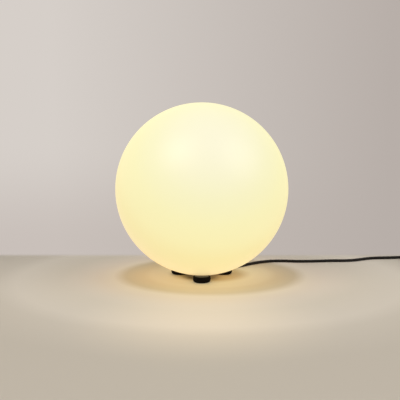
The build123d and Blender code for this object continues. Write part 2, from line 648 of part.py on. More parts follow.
# ---------------------------------------------------------------- where the lead comes in
def cord_strain_relief():
    """A rubber sleeve with a groove that clips into the tunnel's wall and a ribbed taper."""
    inner_flange = -TUNNEL_WALL - SLEEVE_FLANGE_THICK
    outline = [
        (0, inner_flange),
        (SLEEVE_FLANGE, inner_flange),
        (SLEEVE_FLANGE, -TUNNEL_WALL),
        (SLEEVE_NECK, -TUNNEL_WALL),
        (SLEEVE_NECK, 0),
        (SLEEVE_FLANGE, 0),
        (SLEEVE_FLANGE, SLEEVE_FLANGE_THICK),
        (SLEEVE_ROOT, SLEEVE_FLANGE_THICK),
        (SLEEVE_TIP, SLEEVE_LENGTH),
        (0, SLEEVE_LENGTH),
    ]
    sleeve = profile(*outline)
    first = SLEEVE_FLANGE_THICK + 2 * SLEEVE_GROOVE_WIDTH
    step = (SLEEVE_LENGTH - first) / (SLEEVE_GROOVES + 1)
    for k in range(SLEEVE_GROOVES):
        low = first + k * step
        radius = SLEEVE_ROOT + (SLEEVE_TIP - SLEEVE_ROOT) * low / SLEEVE_LENGTH - SLEEVE_GROOVE_DEPTH
        sleeve -= pipe(SLEEVE_FLANGE, radius, low, low + SLEEVE_GROOVE_WIDTH)
    sleeve -= rod(CORD_RADIUS + SLEEVE_BORE_GAP, inner_flange - 1, SLEEVE_LENGTH + 1)
    return TUNNEL.location * sleeve


def cord_inner_end():
    """The end of the lead's sheath, from inside the sleeve's mouth to behind the clamp."""
    return along_tunnel(CORD_RADIUS, SHEATH_END, SLEEVE_LENGTH - CORD_INSET)


def cord_clamp():
    """A saddle over the lead, with an ear at each side."""
    ears = slab(CLAMP_LENGTH, 2 * CLAMP_HALF_WIDTH, CLAMP_SPLIT, CLAMP_SPLIT + CLAMP_EAR, CLAMP_AT)
    arch = Pos(CLAMP_AT, 0, CLAMP_Z) * Rot(0, 90, 0) * Cylinder(CORD_RADIUS + CLAMP_ARCH_WALL, CLAMP_LENGTH)
    arch &= slab(CLAMP_LENGTH, 2 * CLAMP_HALF_WIDTH, CLAMP_SPLIT, CUP_TOP, CLAMP_AT)
    saddle = at_angle(TUNNEL_AZIMUTH, ears + arch)
    saddle -= along_tunnel(CORD_RADIUS + SLEEVE_BORE_GAP, 2 * SHEATH_END, 0)
    for x, y in clamp_screw_places():
        saddle -= rod(M3_SHANK + SCREW_GAP, 0, CUP_TOP, x, y)
    return saddle


def cord_clamp_screws():
    one = screw(M3_SHANK, CLAMP_SCREW_LENGTH, M3_HEAD, M3_HEAD_THICK)
    return group([Pos(x, y, CLAMP_SPLIT + CLAMP_EAR) * one for x, y in clamp_screw_places()])


def arc_radii(points):
    """For each corner of a route, the largest arc that its two runs allow."""
    corners = [Vector(p) for p in points]
    radii = []
    for before, here, after in zip(corners, corners[1:], corners[2:]):
        into, away = here - before, after - here
        half_turn = math.radians(into.get_angle(away)) / 2
        radii.append(0.45 * min(into.length, away.length) / math.tan(half_turn))
    return radii


def swept(path, radius):
    """A round tube along a path."""
    section = Plane(origin=path.position_at(0), z_dir=path.tangent_at(0)) * Circle(radius)
    return sweep(section, path=path)


def tube(name, points, radius):
    """A tube of straight runs joined by tangent arcs, with its arcs and volume printed."""
    radii = arc_radii(points)
    path = FilletPolyline(*points, radius=radii)
    solid = swept(path, radius)
    share = solid.volume / (math.pi * radius ** 2 * path.length)
    arcs = ", ".join(f"{r:.0f}" for r in radii)
    print(f"{name}: length {path.length:.1f}, volume share {share:.4f}, arcs {arcs}")
    return solid


def core(name, side):
    """One insulated core, from the stripped end of the lead up into its terminal."""
    start = TUNNEL.origin + TUNNEL.z_dir * SHEATH_END + SIDEWAYS * (side * CORE_SPREAD)
    turn = OUTWARDS * CORE_TURN_AT + SIDEWAYS * (side * CORE_TURN_SPREAD)
    terminal_x = -side * TERMINAL_AT
    hole_x = terminal_x * CORE_HOLE_SHARE
    return tube(name, [
        tuple(start),
        tuple(start - TUNNEL.z_dir * CORE_STRAIGHT),
        (turn.X, turn.Y, PLATE_UNDERSIDE - CORE_TURN_DROP),
        (hole_x, -CORE_HOLE_BACK, PLATE_UNDERSIDE - CORE_HOLE_DROP),
        (hole_x, CORE_HOLE_MIDDLE, PLATE_TOP),
        (terminal_x, 0, PLATE_TOP + CORE_ENTRY_RISE),
        (terminal_x, 0, TERMINAL_TOP - TERMINAL_SIZE[2] + CORE_IN_TERMINAL),
    ], CORE_RADIUS)


# ---------------------------------------------------------------- lampholder
def lampholder_base():
    body = profile(
        (0, PLATE_TOP),
        (HOLDER_RADIUS, PLATE_TOP),
        (HOLDER_RADIUS, SKIRT_FOOT),
        (HOLDER_COLLAR, SKIRT_FOOT),
        (HOLDER_COLLAR, COLLAR_TOP),
        (SHELL_RADIUS + SHELL_GAP, COLLAR_TOP),
        (SHELL_RADIUS + SHELL_GAP, SHELL_FOOT),
        (HOLDER_WELL, SHELL_FOOT),
        (HOLDER_WELL, WELL_FLOOR),
        (0, WELL_FLOOR),
    )
    body -= rod(HOLDER_CAVITY, PLATE_TOP, TERMINAL_TOP)
    screw_top = PLATE_TOP + HOLDER_SCREW_LENGTH
    for side in (-1, 1):
        body -= rod(M3_SHANK + SCREW_GAP, PLATE_TOP, screw_top, 0, side * HOLDER_SCREW_CIRCLE)
        body -= rod(M3_SHANK + SCREW_GAP, TERMINAL_TOP, WELL_FLOOR, side * TERMINAL_AT, 0)
    return body


def lampholder_screws():
    one = Rot(180, 0, 0) * screw(M3_SHANK, HOLDER_SCREW_LENGTH, M3_HEAD, M3_HEAD_THICK)
    return group([Pos(0, side * HOLDER_SCREW_CIRCLE, PLATE_UNDERSIDE) * one for side in (-1, 1)])


def lampholder_skirt():
    """The outer sleeve of the holder, ribbed for grip, with a lip over the brass shell."""
    cavity = SHELL_RADIUS + SKIRT_CAVITY_GAP
    skirt = rod(SKIRT_RADIUS, SKIRT_FOOT, SKIRT_TOP)
    skirt = fillet(skirt.edges().group_by(Axis.Z)[-1], SKIRT_ROUND)
    skirt -= rod(HOLDER_COLLAR + SKIRT_GAP, SKIRT_FOOT, COLLAR_TOP + SKIRT_GAP)
    skirt -= rod(cavity, SKIRT_FOOT, SHELL_TOP + SHELL_GAP)
    skirt -= rod(SKIRT_MOUTH, SKIRT_FOOT, SKIRT_TOP + 1)
    notch = rod(SKIRT_RIB_DEPTH, SKIRT_FOOT - 1, SHELL_TOP - SKIRT_RIB_STOP, SKIRT_RADIUS)
    for k in range(SKIRT_RIBS):
        skirt -= at_angle(k * 360 / SKIRT_RIBS, notch)
    return skirt


def thread_ridge(root, crest, root_half, crest_half, turns, low):
    """A helical ridge from its root radius to its crest radius."""
    path = Helix(THREAD_PITCH, THREAD_PITCH * turns, root, center=(0, 0, low))
    across = Plane(origin=path.position_at(0), x_dir=(1, 0, 0), z_dir=path.tangent_at(0))
    height = crest - root
    outline = across * Polygon(
        (0, -root_half), (height, -crest_half), (height, crest_half), (0, root_half), align=None)
    return sweep(outline, path=path, is_frenet=True)


def lampholder_shell():
    """The brass screw shell, its thread standing inwards."""
    shell = pipe(SHELL_RADIUS, HOLDER_ROOT, SHELL_FOOT, SHELL_TOP)
    shell += pipe(SHELL_RADIUS, SHELL_FLANGE_BORE, SHELL_FOOT, SHELL_FOOT + SHELL_FLANGE_THICK)
    return shell + thread_ridge(HOLDER_ROOT + THREAD_EMBED, HOLDER_CREST, HOLDER_CREST_HALF + HOLDER_FLANK,
                                HOLDER_CREST_HALF, HOLDER_TURNS, HOLDER_THREAD_Z)


def terminals():
    width, depth, height = TERMINAL_SIZE
    low = TERMINAL_TOP - height
    block = slab(width, depth, low, TERMINAL_TOP)
    block -= rod(CORE_RADIUS + TERMINAL_BORE_GAP, low, TERMINAL_TOP - TERMINAL_ROOF)
    block -= Pos(0, 0, low + TERMINAL_SCREW_RISE) * Rot(90, 0, 0) * rod(M3_SHANK + SCREW_GAP, 0, depth)
    block += rod(M3_SHANK, TERMINAL_TOP - RIVET_JOIN, WELL_FLOOR)
    return group([Pos(side * TERMINAL_AT, 0) * block for side in (-1, 1)])


def terminal_screws():
    depth = TERMINAL_SIZE[1] / 2
    reach = depth - CORE_RADIUS - TERMINAL_BORE_GAP
    one = Rot(90, 0, 0) * screw(M3_SHANK, reach, TERMINAL_SCREW_HEAD, M3_HEAD_THICK)
    place = TERMINAL_TOP - TERMINAL_SIZE[2] + TERMINAL_SCREW_RISE
    return group([Pos(side * TERMINAL_AT, -depth, place) * one for side in (-1, 1)])


def centre_contact():
    """A folded leaf under the lamp's tip, its foot on the head of its rivet."""
    low = WELL_FLOOR + CONTACT_THICK / 2
    return leaf([
        (TERMINAL_AT + CONTACT_TOE, low),
        (-CONTACT_HEEL, low),
        (-CONTACT_PAD, WELL_FLOOR + CONTACT_HEIGHT),
        (CONTACT_PAD, WELL_FLOOR + CONTACT_HEIGHT),
    ], CONTACT_BEND, CONTACT_THICK, CONTACT_WIDTH)


def shell_contact():
    """A bent strip from the other rivet up to the flange of the brass shell."""
    low = WELL_FLOOR + CONTACT_THICK / 2
    reach = HOLDER_WELL - SIDE_CONTACT_WALL_GAP - CONTACT_THICK / 2
    line = [(SIDE_CONTACT_TOE - TERMINAL_AT, low), (-reach, low), (-reach, SHELL_FOOT)]
    return leaf(line, SIDE_CONTACT_BEND, CONTACT_THICK, CONTACT_WIDTH)


# ---------------------------------------------------------------- lamp
def bulb_tip_contact():
    tip = rod(TIP_RADIUS, TIP_Z, TIP_Z + TIP_HEIGHT)
    return fillet(tip.edges().group_by(Axis.Z)[0], TIP_ROUND)


def bulb_cap_insulator():
    """The dark glass ring between the lamp's tip and its screw cap."""
    foot, top = TIP_Z + INSULATOR_RISE, CAP_FOOT - TURN_GAP
    return profile(
        (TIP_RADIUS, foot),
        (TIP_RADIUS + INSULATOR_EDGE, foot),
        (INSULATOR_TOP, top - INSULATOR_EDGE),
        (INSULATOR_TOP, top),
        (TIP_RADIUS, top),
    )


def bulb_screw_cap():
    """The lamp's threaded cap, turned in at its foot and flared where it grips the body."""
    inner = THREAD_ROOT - CAP_WALL
    flare = THREAD_ROOT + CAP_FLARE
    cap = profile(
        (inner - CAP_TURN_IN, CAP_FOOT),
        (THREAD_ROOT - CAP_TURN_IN, CAP_FOOT),
        (THREAD_ROOT, CAP_FOOT + CAP_FOOT_BEVEL),
        (THREAD_ROOT, CAP_TOP - CAP_FLARE_HEIGHTS[0]),
        (flare, CAP_TOP - CAP_FLARE_HEIGHTS[1]),
        (flare, CAP_TOP),
        (inner, CAP_TOP),
        (inner, CAP_FOOT + CAP_FOOT_THICK),
    )
    return cap + thread_ridge(THREAD_ROOT - THREAD_EMBED, THREAD_CREST, CAP_CREST_HALF + CAP_FLANK,
                              CAP_CREST_HALF, CAP_TURNS, CAP_THREAD_Z)


def bulb_housing():
    """The lamp's plastic body, a cone with a spigot down inside the cap."""
    spigot = THREAD_ROOT - CAP_WALL - BULB_FIT
    spigot_foot = CAP_TOP - BULB_SPIGOT_LENGTH
    waist = BULB_NECK + (BULB_RIM - BULB_NECK) * BULB_WAIST
    middle = CONE_FOOT + BULB_CONE_HEIGHT / 2
    rim_inside = BULB_RIM - BULB_RIM_WALL
    neck_inside = BULB_NECK - BULB_NECK_WALL
    ledge_foot = CONE_TOP - BULB_LEDGE_THICK
    outline = Curve() + [
        Polyline((spigot, 0, spigot_foot), (spigot, 0, CAP_TOP), (BULB_NECK, 0, CAP_TOP),
                 (BULB_NECK, 0, CONE_FOOT)),
        ThreePointArc((BULB_NECK, 0, CONE_FOOT), (waist, 0, middle), (BULB_RIM, 0, CONE_TOP)),
        Polyline((BULB_RIM, 0, CONE_TOP), (BULB_RIM, 0, RIM_TOP), (rim_inside, 0, RIM_TOP),
                 (rim_inside, 0, LED_BOARD_Z), (BULB_LEDGE, 0, LED_BOARD_Z), (BULB_LEDGE, 0, ledge_foot)),
        ThreePointArc((BULB_LEDGE, 0, ledge_foot), (waist - BULB_WALL, 0, middle),
                      (neck_inside, 0, CONE_FOOT)),
        Polyline((neck_inside, 0, CONE_FOOT), (spigot - BULB_SPIGOT_WALL, 0, spigot_foot),
                 (spigot, 0, spigot_foot)),
    ]
    return revolve(make_face(outline), Axis.Z)


def bulb_diffuser():
    """The lamp's opal dome, with a spigot inside the rim of its body."""
    spigot = BULB_RIM - BULB_RIM_WALL - BULB_FIT
    inner = DIFFUSER_RADIUS - DIFFUSER_WALL
    foot = math.sqrt(DIFFUSER_RADIUS ** 2 - DIFFUSER_LIFT ** 2)
    inner_foot = math.sqrt(inner ** 2 - DIFFUSER_LIFT ** 2)
    spigot_foot = RIM_TOP - DIFFUSER_SPIGOT + BULB_FIT
    outline = Curve() + [
        ThreePointArc((0, 0, DOME_CENTRE + DIFFUSER_RADIUS), (DIFFUSER_RADIUS, 0, DOME_CENTRE),
                      (foot, 0, RIM_TOP)),
        Polyline((foot, 0, RIM_TOP), (spigot, 0, RIM_TOP), (spigot, 0, spigot_foot),
                 (inner_foot - DIFFUSER_TURN_IN, 0, spigot_foot), (inner_foot, 0, RIM_TOP)),
        ThreePointArc((inner_foot, 0, RIM_TOP), (inner, 0, DOME_CENTRE), (0, 0, DOME_CENTRE + inner)),
        Line((0, 0, DOME_CENTRE + inner), (0, 0, DOME_CENTRE + DIFFUSER_RADIUS)),
    ]
    return revolve(make_face(outline), Axis.Z)


def led_board():
    return pipe(BULB_RIM - BULB_RIM_WALL - BULB_FIT, BOARD_HOLE, LED_BOARD_Z, LED_BOARD_Z + BOARD_THICK)


def led_chips():
    width, depth, height = LED_SIZE
    top = LED_BOARD_Z + BOARD_THICK
    one = slab(width, depth, top, top + height, LED_CIRCLE)
    return group([at_angle(k * 360 / LED_COUNT, one) for k in range(LED_COUNT)])


def driver_board():
    """The upright circuit board in the lamp's body, with its capacitor and its choke."""
    width, thick, height = DRIVER_SIZE
    low = CAP_TOP - DRIVER_DROP
    board = slab(width, thick, low, low + height)
    across, up = CAPACITOR_AT
    capacitor = Cylinder(CAPACITOR_RADIUS, CAPACITOR_LENGTH, align=STAND)
    board += Pos(across, -thick / 2, low + up) * Rot(90, 0, 0) * capacitor
    across, up = CHOKE_AT
    wide, deep, high = CHOKE_SIZE
    return board + slab(wide, deep, low + up, low + up + high, across, (thick + deep) / 2)


# ---------------------------------------------------------------- coil, ties, tail and plug
def coil_point(turns):
    """The coil's centreline and direction: in on the lower layer, out on the upper one."""
    middle = COIL_TURNS / 2
    inwards = turns if turns <= middle else COIL_TURNS - turns
    radius = COIL_RADIUS - COIL_STEP * inwards
    swell = -COIL_STEP if turns < middle else COIL_STEP
    climb = min(max((turns - middle) * 2 + 0.5, 0), 1)
    height = COIL_HEIGHT + COIL_LAYER * climb
    rise = 0.0
    if turns == middle:
        radius += COIL_BULGE
        swell, rise = 0.0, COIL_CLIMB
    if turns in (0, COIL_TURNS):
        swell = 0.0
    angle = math.pi / 2 - 2 * math.pi * turns
    out = Vector(math.cos(angle), math.sin(angle), 0)
    on = Vector(math.sin(angle), -math.cos(angle), 0)
    place = Vector(*COIL_CENTRE, height) + out * radius
    return place, (on * (2 * math.pi * radius) + out * swell + Vector(0, 0, rise)).normalized()


def biarc(start, start_way, end, end_way):
    """Two arcs that leave one point and reach another in the given directions."""
    span = end - start
    both = start_way + end_way
    a = 2 * (start_way.dot(end_way) - 1)
    b = -2 * span.dot(both)
    c = span.dot(span)
    reach = (-b - math.sqrt(b * b - 4 * a * c)) / (2 * a)
    join = (start + start_way * reach + end - end_way * reach) / 2
    chord = join - start
    join_way = chord * (2 * start_way.dot(chord) / chord.dot(chord)) - start_way
    return [Edge.make_tangent_arc(start, start_way, join), Edge.make_tangent_arc(join, join_way, end)]


def coil_path():
    places = [coil_point(k / 4) for k in range(4 * COIL_TURNS + 1)]
    lead = 2 * CORD_RADIUS
    (first, first_way), (last, last_way) = places[0], places[-1]
    edges = [Edge.make_line(first - first_way * lead, first)]
    for (start, start_way), (end, end_way) in zip(places, places[1:]):
        edges += biarc(start, start_way, end, end_way)
    edges.append(Edge.make_line(last, last + last_way * lead))
    return Wire(edges)


def cord_coil():
    path = coil_path()
    solid = swept(path, CORD_RADIUS)
    share = solid.volume / (math.pi * CORD_RADIUS ** 2 * path.length)
    count = 160 * COIL_TURNS
    spots = [path.position_at(k / count) for k in range(count + 1)]
    apart = int(5 * CORD_RADIUS / (path.length / count))
    least = min((a - b).length for i, a in enumerate(spots) for b in spots[i + apart:])
    gap = least - 2 * CORD_RADIUS
    print(f"cord_coil: length {path.length:.1f}, volume share {share:.4f}, least gap {gap:.2f}")
    return solid


def coil_tie(angle):
    """A soft strap round the whole bundle of turns."""
    inner = COIL_RADIUS - COIL_STEP * COIL_TURNS / 2 - CORD_RADIUS - TIE_EASE
    outer = COIL_RADIUS + CORD_RADIUS + 4 * TIE_EASE
    top = COIL_HEIGHT + COIL_LAYER + CORD_RADIUS + TIE_EASE
    width, height = outer - inner, top - TIE_THICK
    middle = Pos((inner + outer) / 2, 0, TIE_THICK + height / 2)
    strap = RectangleRounded(width + 2 * TIE_THICK, height + 2 * TIE_THICK, TIE_CORNER + TIE_THICK)
    strap -= RectangleRounded(width, height, TIE_CORNER)
    band = extrude(strap, TIE_WIDTH / 2, both=True)
    return Pos(*COIL_CENTRE) * at_angle(angle, middle * Rot(90, 0, 0) * band)


def plug_body():
    """A flat-sided plug that lies on the ground, lofted from its sleeve to its face."""
    x, y = PLUG_FACE_AT
    at_face = Pos(x, y, PLUG_AXIS) * Rot(90, 0, 0)
    sections = [
        (0, PLUG_WIDTH, PLUG_THICK, PLUG_CORNER),
        (PLUG_STRAIGHT, PLUG_WIDTH, PLUG_THICK, PLUG_CORNER),
        (PLUG_SHOULDER_AT, *PLUG_SHOULDER),
        (PLUG_LENGTH, *PLUG_NECK),
    ]
    faces = [Pos(0, 0, -back) * RectangleRounded(*outline) for back, *outline in sections]
    body = loft(faces[:2]) + loft(faces[1:])
    body = fillet(body.edges().group_by(Axis.Z)[-1], PLUG_FACE_ROUND)
    tail = -PLUG_LENGTH - PLUG_SLEEVE_LENGTH
    root = JOIN - PLUG_LENGTH
    body += profile((0, tail), (PLUG_SLEEVE_TIP, tail), (PLUG_SLEEVE_ROOT, root), (0, root))
    for k in range(SLEEVE_GROOVES):
        low = tail + PLUG_GROOVE_START + k * (PLUG_SLEEVE_LENGTH - PLUG_GROOVE_START) / SLEEVE_GROOVES
        body -= pipe(PLUG_SLEEVE_ROOT + 1, PLUG_GROOVE_FLOOR, low, low + SLEEVE_GROOVE_WIDTH)
    body -= rod(CORD_RADIUS + SLEEVE_BORE_GAP, tail - 1, tail + PLUG_CORD_DEPTH)
    for side in (-1, 1):
        body -= rod(PIN_ROOT + SCREW_GAP, -PIN_EMBED, 1, side * PIN_SPACING / 2)
    return at_face * body


def plug_pins():
    x, y = PLUG_FACE_AT
    one = rod(PIN_RADIUS, 0, PIN_LENGTH)
    one = fillet(one.edges().group_by(Axis.Z)[-1], PIN_TIP) + rod(PIN_ROOT, -PIN_EMBED, 0)
    at_face = Pos(x, y, PLUG_AXIS) * Rot(90, 0, 0)
    return group([at_face * Pos(side * PIN_SPACING / 2, 0) * one for side in (-1, 1)])


# ---------------------------------------------------------------- every piece, by name
def pieces():
    made = {
        "globe_shell": globe_shell(),
        "base_plate": base_plate(),
        "foot_washers": foot_washers(),
        "foot_screws": foot_screws(),
        "neck_seal": neck_seal(),
        "clip_screws": clip_screws(),
        "holder_plate": holder_plate(),
        "holder_plate_screws": holder_plate_screws(),
        "cord_strain_relief": cord_strain_relief(),
        "cord_inner_end": cord_inner_end(),
        "cord_clamp": cord_clamp(),
        "cord_clamp_screws": cord_clamp_screws(),
        "core_brown": core("core_brown", -1),
        "core_blue": core("core_blue", 1),
        "lampholder_base": lampholder_base(),
        "lampholder_screws": lampholder_screws(),
        "lampholder_skirt": lampholder_skirt(),
        "lampholder_shell": lampholder_shell(),
        "terminals": terminals(),
        "terminal_screws": terminal_screws(),
        "centre_contact": centre_contact(),
        "shell_contact": shell_contact(),
        "bulb_tip_contact": bulb_tip_contact(),
        "bulb_cap_insulator": bulb_cap_insulator(),
        "bulb_screw_cap": bulb_screw_cap(),
        "bulb_housing": bulb_housing(),
        "bulb_diffuser": bulb_diffuser(),
        "led_board": led_board(),
        "led_chips": led_chips(),
        "driver_board": driver_board(),
        "cord_run": tube("cord_run", CORD_ROUTE, CORD_RADIUS),
        "cord_coil": cord_coil(),
        "plug_tail": tube("plug_tail", TAIL_ROUTE, CORD_RADIUS),
        "plug_body": plug_body(),
        "plug_pins": plug_pins(),
    }
    one_foot = foot()
    for name, angle in FOOT_ANGLES.items():
        made[name] = at_angle(angle, one_foot)
    one_clip = spring_clip()
    for number, angle in enumerate(CLIP_ANGLES, 1):
        made[f"spring_clip_{number}"] = at_angle(angle, one_clip)
    for number, angle in enumerate(TIE_ANGLES, 1):
        made[f"coil_tie_{number}"] = coil_tie(angle)
    return made


os.makedirs("parts", exist_ok=True)
for name, solid in pieces().items():
    export_step(solid, f"parts/{name}.step")
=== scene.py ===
import math

import bmesh
import bpy
from mathutils import Matrix, Vector


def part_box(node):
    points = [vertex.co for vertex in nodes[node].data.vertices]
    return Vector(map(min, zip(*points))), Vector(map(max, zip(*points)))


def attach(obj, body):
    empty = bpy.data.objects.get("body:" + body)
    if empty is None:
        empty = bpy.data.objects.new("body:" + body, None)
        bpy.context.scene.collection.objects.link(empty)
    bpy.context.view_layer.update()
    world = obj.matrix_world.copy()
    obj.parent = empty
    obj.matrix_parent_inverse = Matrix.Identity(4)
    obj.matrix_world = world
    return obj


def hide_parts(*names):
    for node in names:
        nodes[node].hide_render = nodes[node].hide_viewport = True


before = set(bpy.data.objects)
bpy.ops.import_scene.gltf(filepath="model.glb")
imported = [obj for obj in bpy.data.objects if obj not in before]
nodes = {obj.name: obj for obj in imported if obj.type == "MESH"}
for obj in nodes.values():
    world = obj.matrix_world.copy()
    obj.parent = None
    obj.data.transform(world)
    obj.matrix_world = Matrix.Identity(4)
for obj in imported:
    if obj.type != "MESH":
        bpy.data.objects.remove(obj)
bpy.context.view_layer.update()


# ---------------------------------------------------------------- base pan with its cup
# One black glass-filled nylon moulding: three lobes under the ball and a cup that goes up its neck.
# The tool was spark eroded, so the plastic has a fine even grain, a little paler where it is rubbed.
MOTTLE_DARK, MOTTLE_PALE = 0.35, 0.65
RUB_SHARE = 0.25
MOTTLE_ROUGHNESS = 0.12
DUST_ROUGHNESS = 0.3
GRAIN_STRENGTH = 0.35
SCUFFS_A_METRE, SCUFF_CONTRAST = 260.0, 4.0
FILM_A_METRE, FILM_SHARE = 90.0, 0.7
SPECKS_A_METRE, SPECK_RADIUS, SPECK_CONTRAST = 900.0, 0.16, 9.0


def new_material(name):
    """A material, its node tree and its shader."""
    made = bpy.data.materials.new(name)
    made.use_nodes = True
    tree = made.node_tree
    return made, tree, tree.nodes["Principled BSDF"]


def feed(tree, socket, value):
    """Links a socket to another one, or gives it a plain value."""
    if isinstance(value, bpy.types.NodeSocket):
        tree.links.new(value, socket)
    else:
        socket.default_value = value


def add(tree, kind, inputs=None, **settings):
    """Adds a node, makes its settings and then feeds its sockets."""
    made = tree.nodes.new(kind)
    for key, value in settings.items():
        setattr(made, key, value)
    for key, value in (inputs or {}).items():
        feed(tree, made.inputs[key], value)
    return made


def shade(tree, shader, **sockets):
    """Feeds the shader's sockets, named with _ for a space."""
    for key, value in sockets.items():
        feed(tree, shader.inputs[key.replace("_", " ")], value)


def tint(colour):
    """A colour written as 8-bit screen values, as Blender's linear ones."""
    linear = [c / 255 / 12.92 if c <= 10 else ((c / 255 + 0.055) / 1.055) ** 2.4 for c in colour]
    return (*linear, 1.0)


def ramp(tree, factor, stops):
    """A colour ramp with (place, colour) stops."""
    made = add(tree, "ShaderNodeValToRGB", {"Fac": factor})
    elements = made.color_ramp.elements
    while len(elements) < len(stops):
        elements.new(0.5)
    for element, (place, colour) in zip(elements, stops):
        element.position = place
        element.color = colour
    return made.outputs["Color"]


def maths(tree, operation, *values, clamp=False):
    """A maths node on sockets or numbers."""
    return add(tree, "ShaderNodeMath", dict(enumerate(values)), operation=operation,
               use_clamp=clamp).outputs[0]


def mix_colours(tree, factor, first, second):
    """A blend of two colours."""
    return add(tree, "ShaderNodeMix", {0: factor, 6: first, 7: second}, data_type="RGBA").outputs[2]


def on_piece(tree):
    """The place on the piece, in metres."""
    return add(tree, "ShaderNodeTexCoord").outputs["Object"]


def parts_of(tree, vector):
    """The X, Y and Z of a vector."""
    return add(tree, "ShaderNodeSeparateXYZ", {"Vector": vector}).outputs


def noise(tree, place, scale, detail, roughness=0.5, distortion=0.0):
    """Cloudy noise from 0 to 1, its scale in clouds to the metre."""
    return add(tree, "ShaderNodeTexNoise", {"Vector": place, "Scale": scale, "Detail": detail,
                                            "Roughness": roughness,
                                            "Distortion": distortion}).outputs["Fac"]


def relief(tree, height, strength, depth):
    """A surface normal with fine relief, its depth in metres."""
    return add(tree, "ShaderNodeBump", {"Strength": strength, "Distance": depth,
                                        "Height": height}).outputs["Normal"]


def new_group(name, inputs, outputs):
    """A shader node group with named sockets, given as name: (kind, default)."""
    tree = bpy.data.node_groups.new(name, "ShaderNodeTree")
    for key, (kind, default) in inputs.items():
        socket = tree.interface.new_socket(name=key, in_out="INPUT", socket_type="NodeSocket" + kind)
        socket.default_value = default
    for key, kind in outputs.items():
        tree.interface.new_socket(name=key, in_out="OUTPUT", socket_type="NodeSocket" + kind)
    entry, leave = tree.nodes.new("NodeGroupInput"), tree.nodes.new("NodeGroupOutput")
    return tree, entry.outputs, leave.inputs


def use_group(tree, group, **inputs):
    """Places a node group in a tree and returns its outputs."""
    return add(tree, "ShaderNodeGroup", inputs, node_tree=group).outputs


def grain_group():
    """Moulded grain: fine bumps, soft flow mottling, and how rubbed each place is."""
    tree, entry, leave = new_group(
        "moulded_grain",
        {"Size": ("Float", 0.001), "Mottle": ("Float", 0.03)},
        {"Height": "Float", "Mottling": "Float", "Rub": "Float"},
    )
    place = on_piece(tree)
    fine = noise(tree, place, maths(tree, "DIVIDE", 1.0, entry["Size"]), detail=3.0, roughness=0.65)
    coarse = noise(tree, place, maths(tree, "DIVIDE", 1.0, entry["Mottle"]), detail=4.0, roughness=0.55)
    scuffs = noise(tree, place, SCUFFS_A_METRE, detail=5.0, roughness=0.7, distortion=1.2)
    rubbed = maths(tree, "MULTIPLY", maths(tree, "SUBTRACT", scuffs, 0.5), SCUFF_CONTRAST, clamp=True)
    feed(tree, leave["Height"], fine)
    feed(tree, leave["Mottling"], coarse)
    feed(tree, leave["Rub"], rubbed)
    return tree


def dust_group():
    """Settled dust: pale specks and film where a surface faces up."""
    tree, entry, leave = new_group(
        "settled_dust",
        {"Amount": ("Float", 0.1)},
        {"Mask": "Float"},
    )
    upward = parts_of(tree, add(tree, "ShaderNodeNewGeometry").outputs["Normal"])["Z"]
    facing = maths(tree, "POWER", maths(tree, "MAXIMUM", upward, 0.0), 2.0)
    place = on_piece(tree)
    film = noise(tree, place, FILM_A_METRE, detail=6.0, roughness=0.75)
    specks = add(tree, "ShaderNodeTexVoronoi", {"Vector": place, "Scale": SPECKS_A_METRE})
    inside = maths(tree, "SUBTRACT", SPECK_RADIUS, specks.outputs["Distance"])
    spots = maths(tree, "MULTIPLY", inside, SPECK_CONTRAST, clamp=True)
    whole = maths(tree, "ADD", maths(tree, "MULTIPLY", film, FILM_SHARE), spots)
    settled = maths(tree, "MULTIPLY", maths(tree, "MULTIPLY", facing, whole), entry["Amount"], clamp=True)
    feed(tree, leave["Mask"], settled)
    return tree


grain = grain_group()
dust = dust_group()
DUST = tint((172, 164, 150))


def moulded(name, colour, pale, roughness, grain_size, grain_depth, dusting, **sockets):
    """A moulded plastic or rubber: mottled colour, rubbed patches, dust on top, and grain."""
    made, tree, shader = new_material(name)
    marks = use_group(tree, grain, Size=grain_size)
    settled = use_group(tree, dust, Amount=dusting)["Mask"]
    skin = ramp(tree, marks["Mottling"], [(MOTTLE_DARK, tint(colour)), (MOTTLE_PALE, tint(pale))])
    skin = mix_colours(tree, maths(tree, "MULTIPLY", marks["Rub"], RUB_SHARE), skin, tint(pale))
    skin = mix_colours(tree, settled, skin, DUST)
    uneven = maths(tree, "MULTIPLY", marks["Mottling"], MOTTLE_ROUGHNESS)
    rough = maths(tree, "ADD", roughness - MOTTLE_ROUGHNESS / 2, uneven)
    rough = maths(tree, "ADD", rough, maths(tree, "MULTIPLY", settled, DUST_ROUGHNESS), clamp=True)
    shade(tree, shader, Base_Color=skin, Roughness=rough,
          Normal=relief(tree, marks["Height"], GRAIN_STRENGTH, grain_depth), **sockets)
    return made


def dress(material, *names):
    """Gives CAD nodes their finish."""
    for name in names:
        mesh = nodes[name].data
        mesh.materials.clear()
        mesh.materials.append(material)


black_nylon = moulded("black_nylon", (30, 30, 31), (44, 44, 45), roughness=0.52, grain_size=0.0006,
                      grain_depth=0.00012, dusting=0.10)
dress(black_nylon, "base_plate")


# ---------------------------------------------------------------- rubber feet
# Three round cups of matt black rubber with a well rounded lower edge, pushed up over the ends of
# the lobes. Each is held by a screw and a washer in a recess in its sole.
def foot_material():
    """Matt black rubber, paler where it is rubbed."""
    made, tree, shader = new_material("foot_rubber")
    marks = use_group(tree, grain, Size=0.0009)
    settled = use_group(tree, dust, Amount=0.03)["Mask"]
    skin = ramp(tree, marks["Mottling"], [(0.35, tint((13, 10, 9))), (0.7, tint((21, 17, 15)))])
    skin = mix_colours(tree, maths(tree, "MULTIPLY", marks["Rub"], 0.2), skin, tint((36, 32, 29)))
    skin = mix_colours(tree, settled, skin, DUST)
    shade(tree, shader, Base_Color=skin, Roughness=0.88, Specular_IOR_Level=0.10,
          Normal=relief(tree, marks["Height"], strength=0.4, depth=0.00015))
    return made


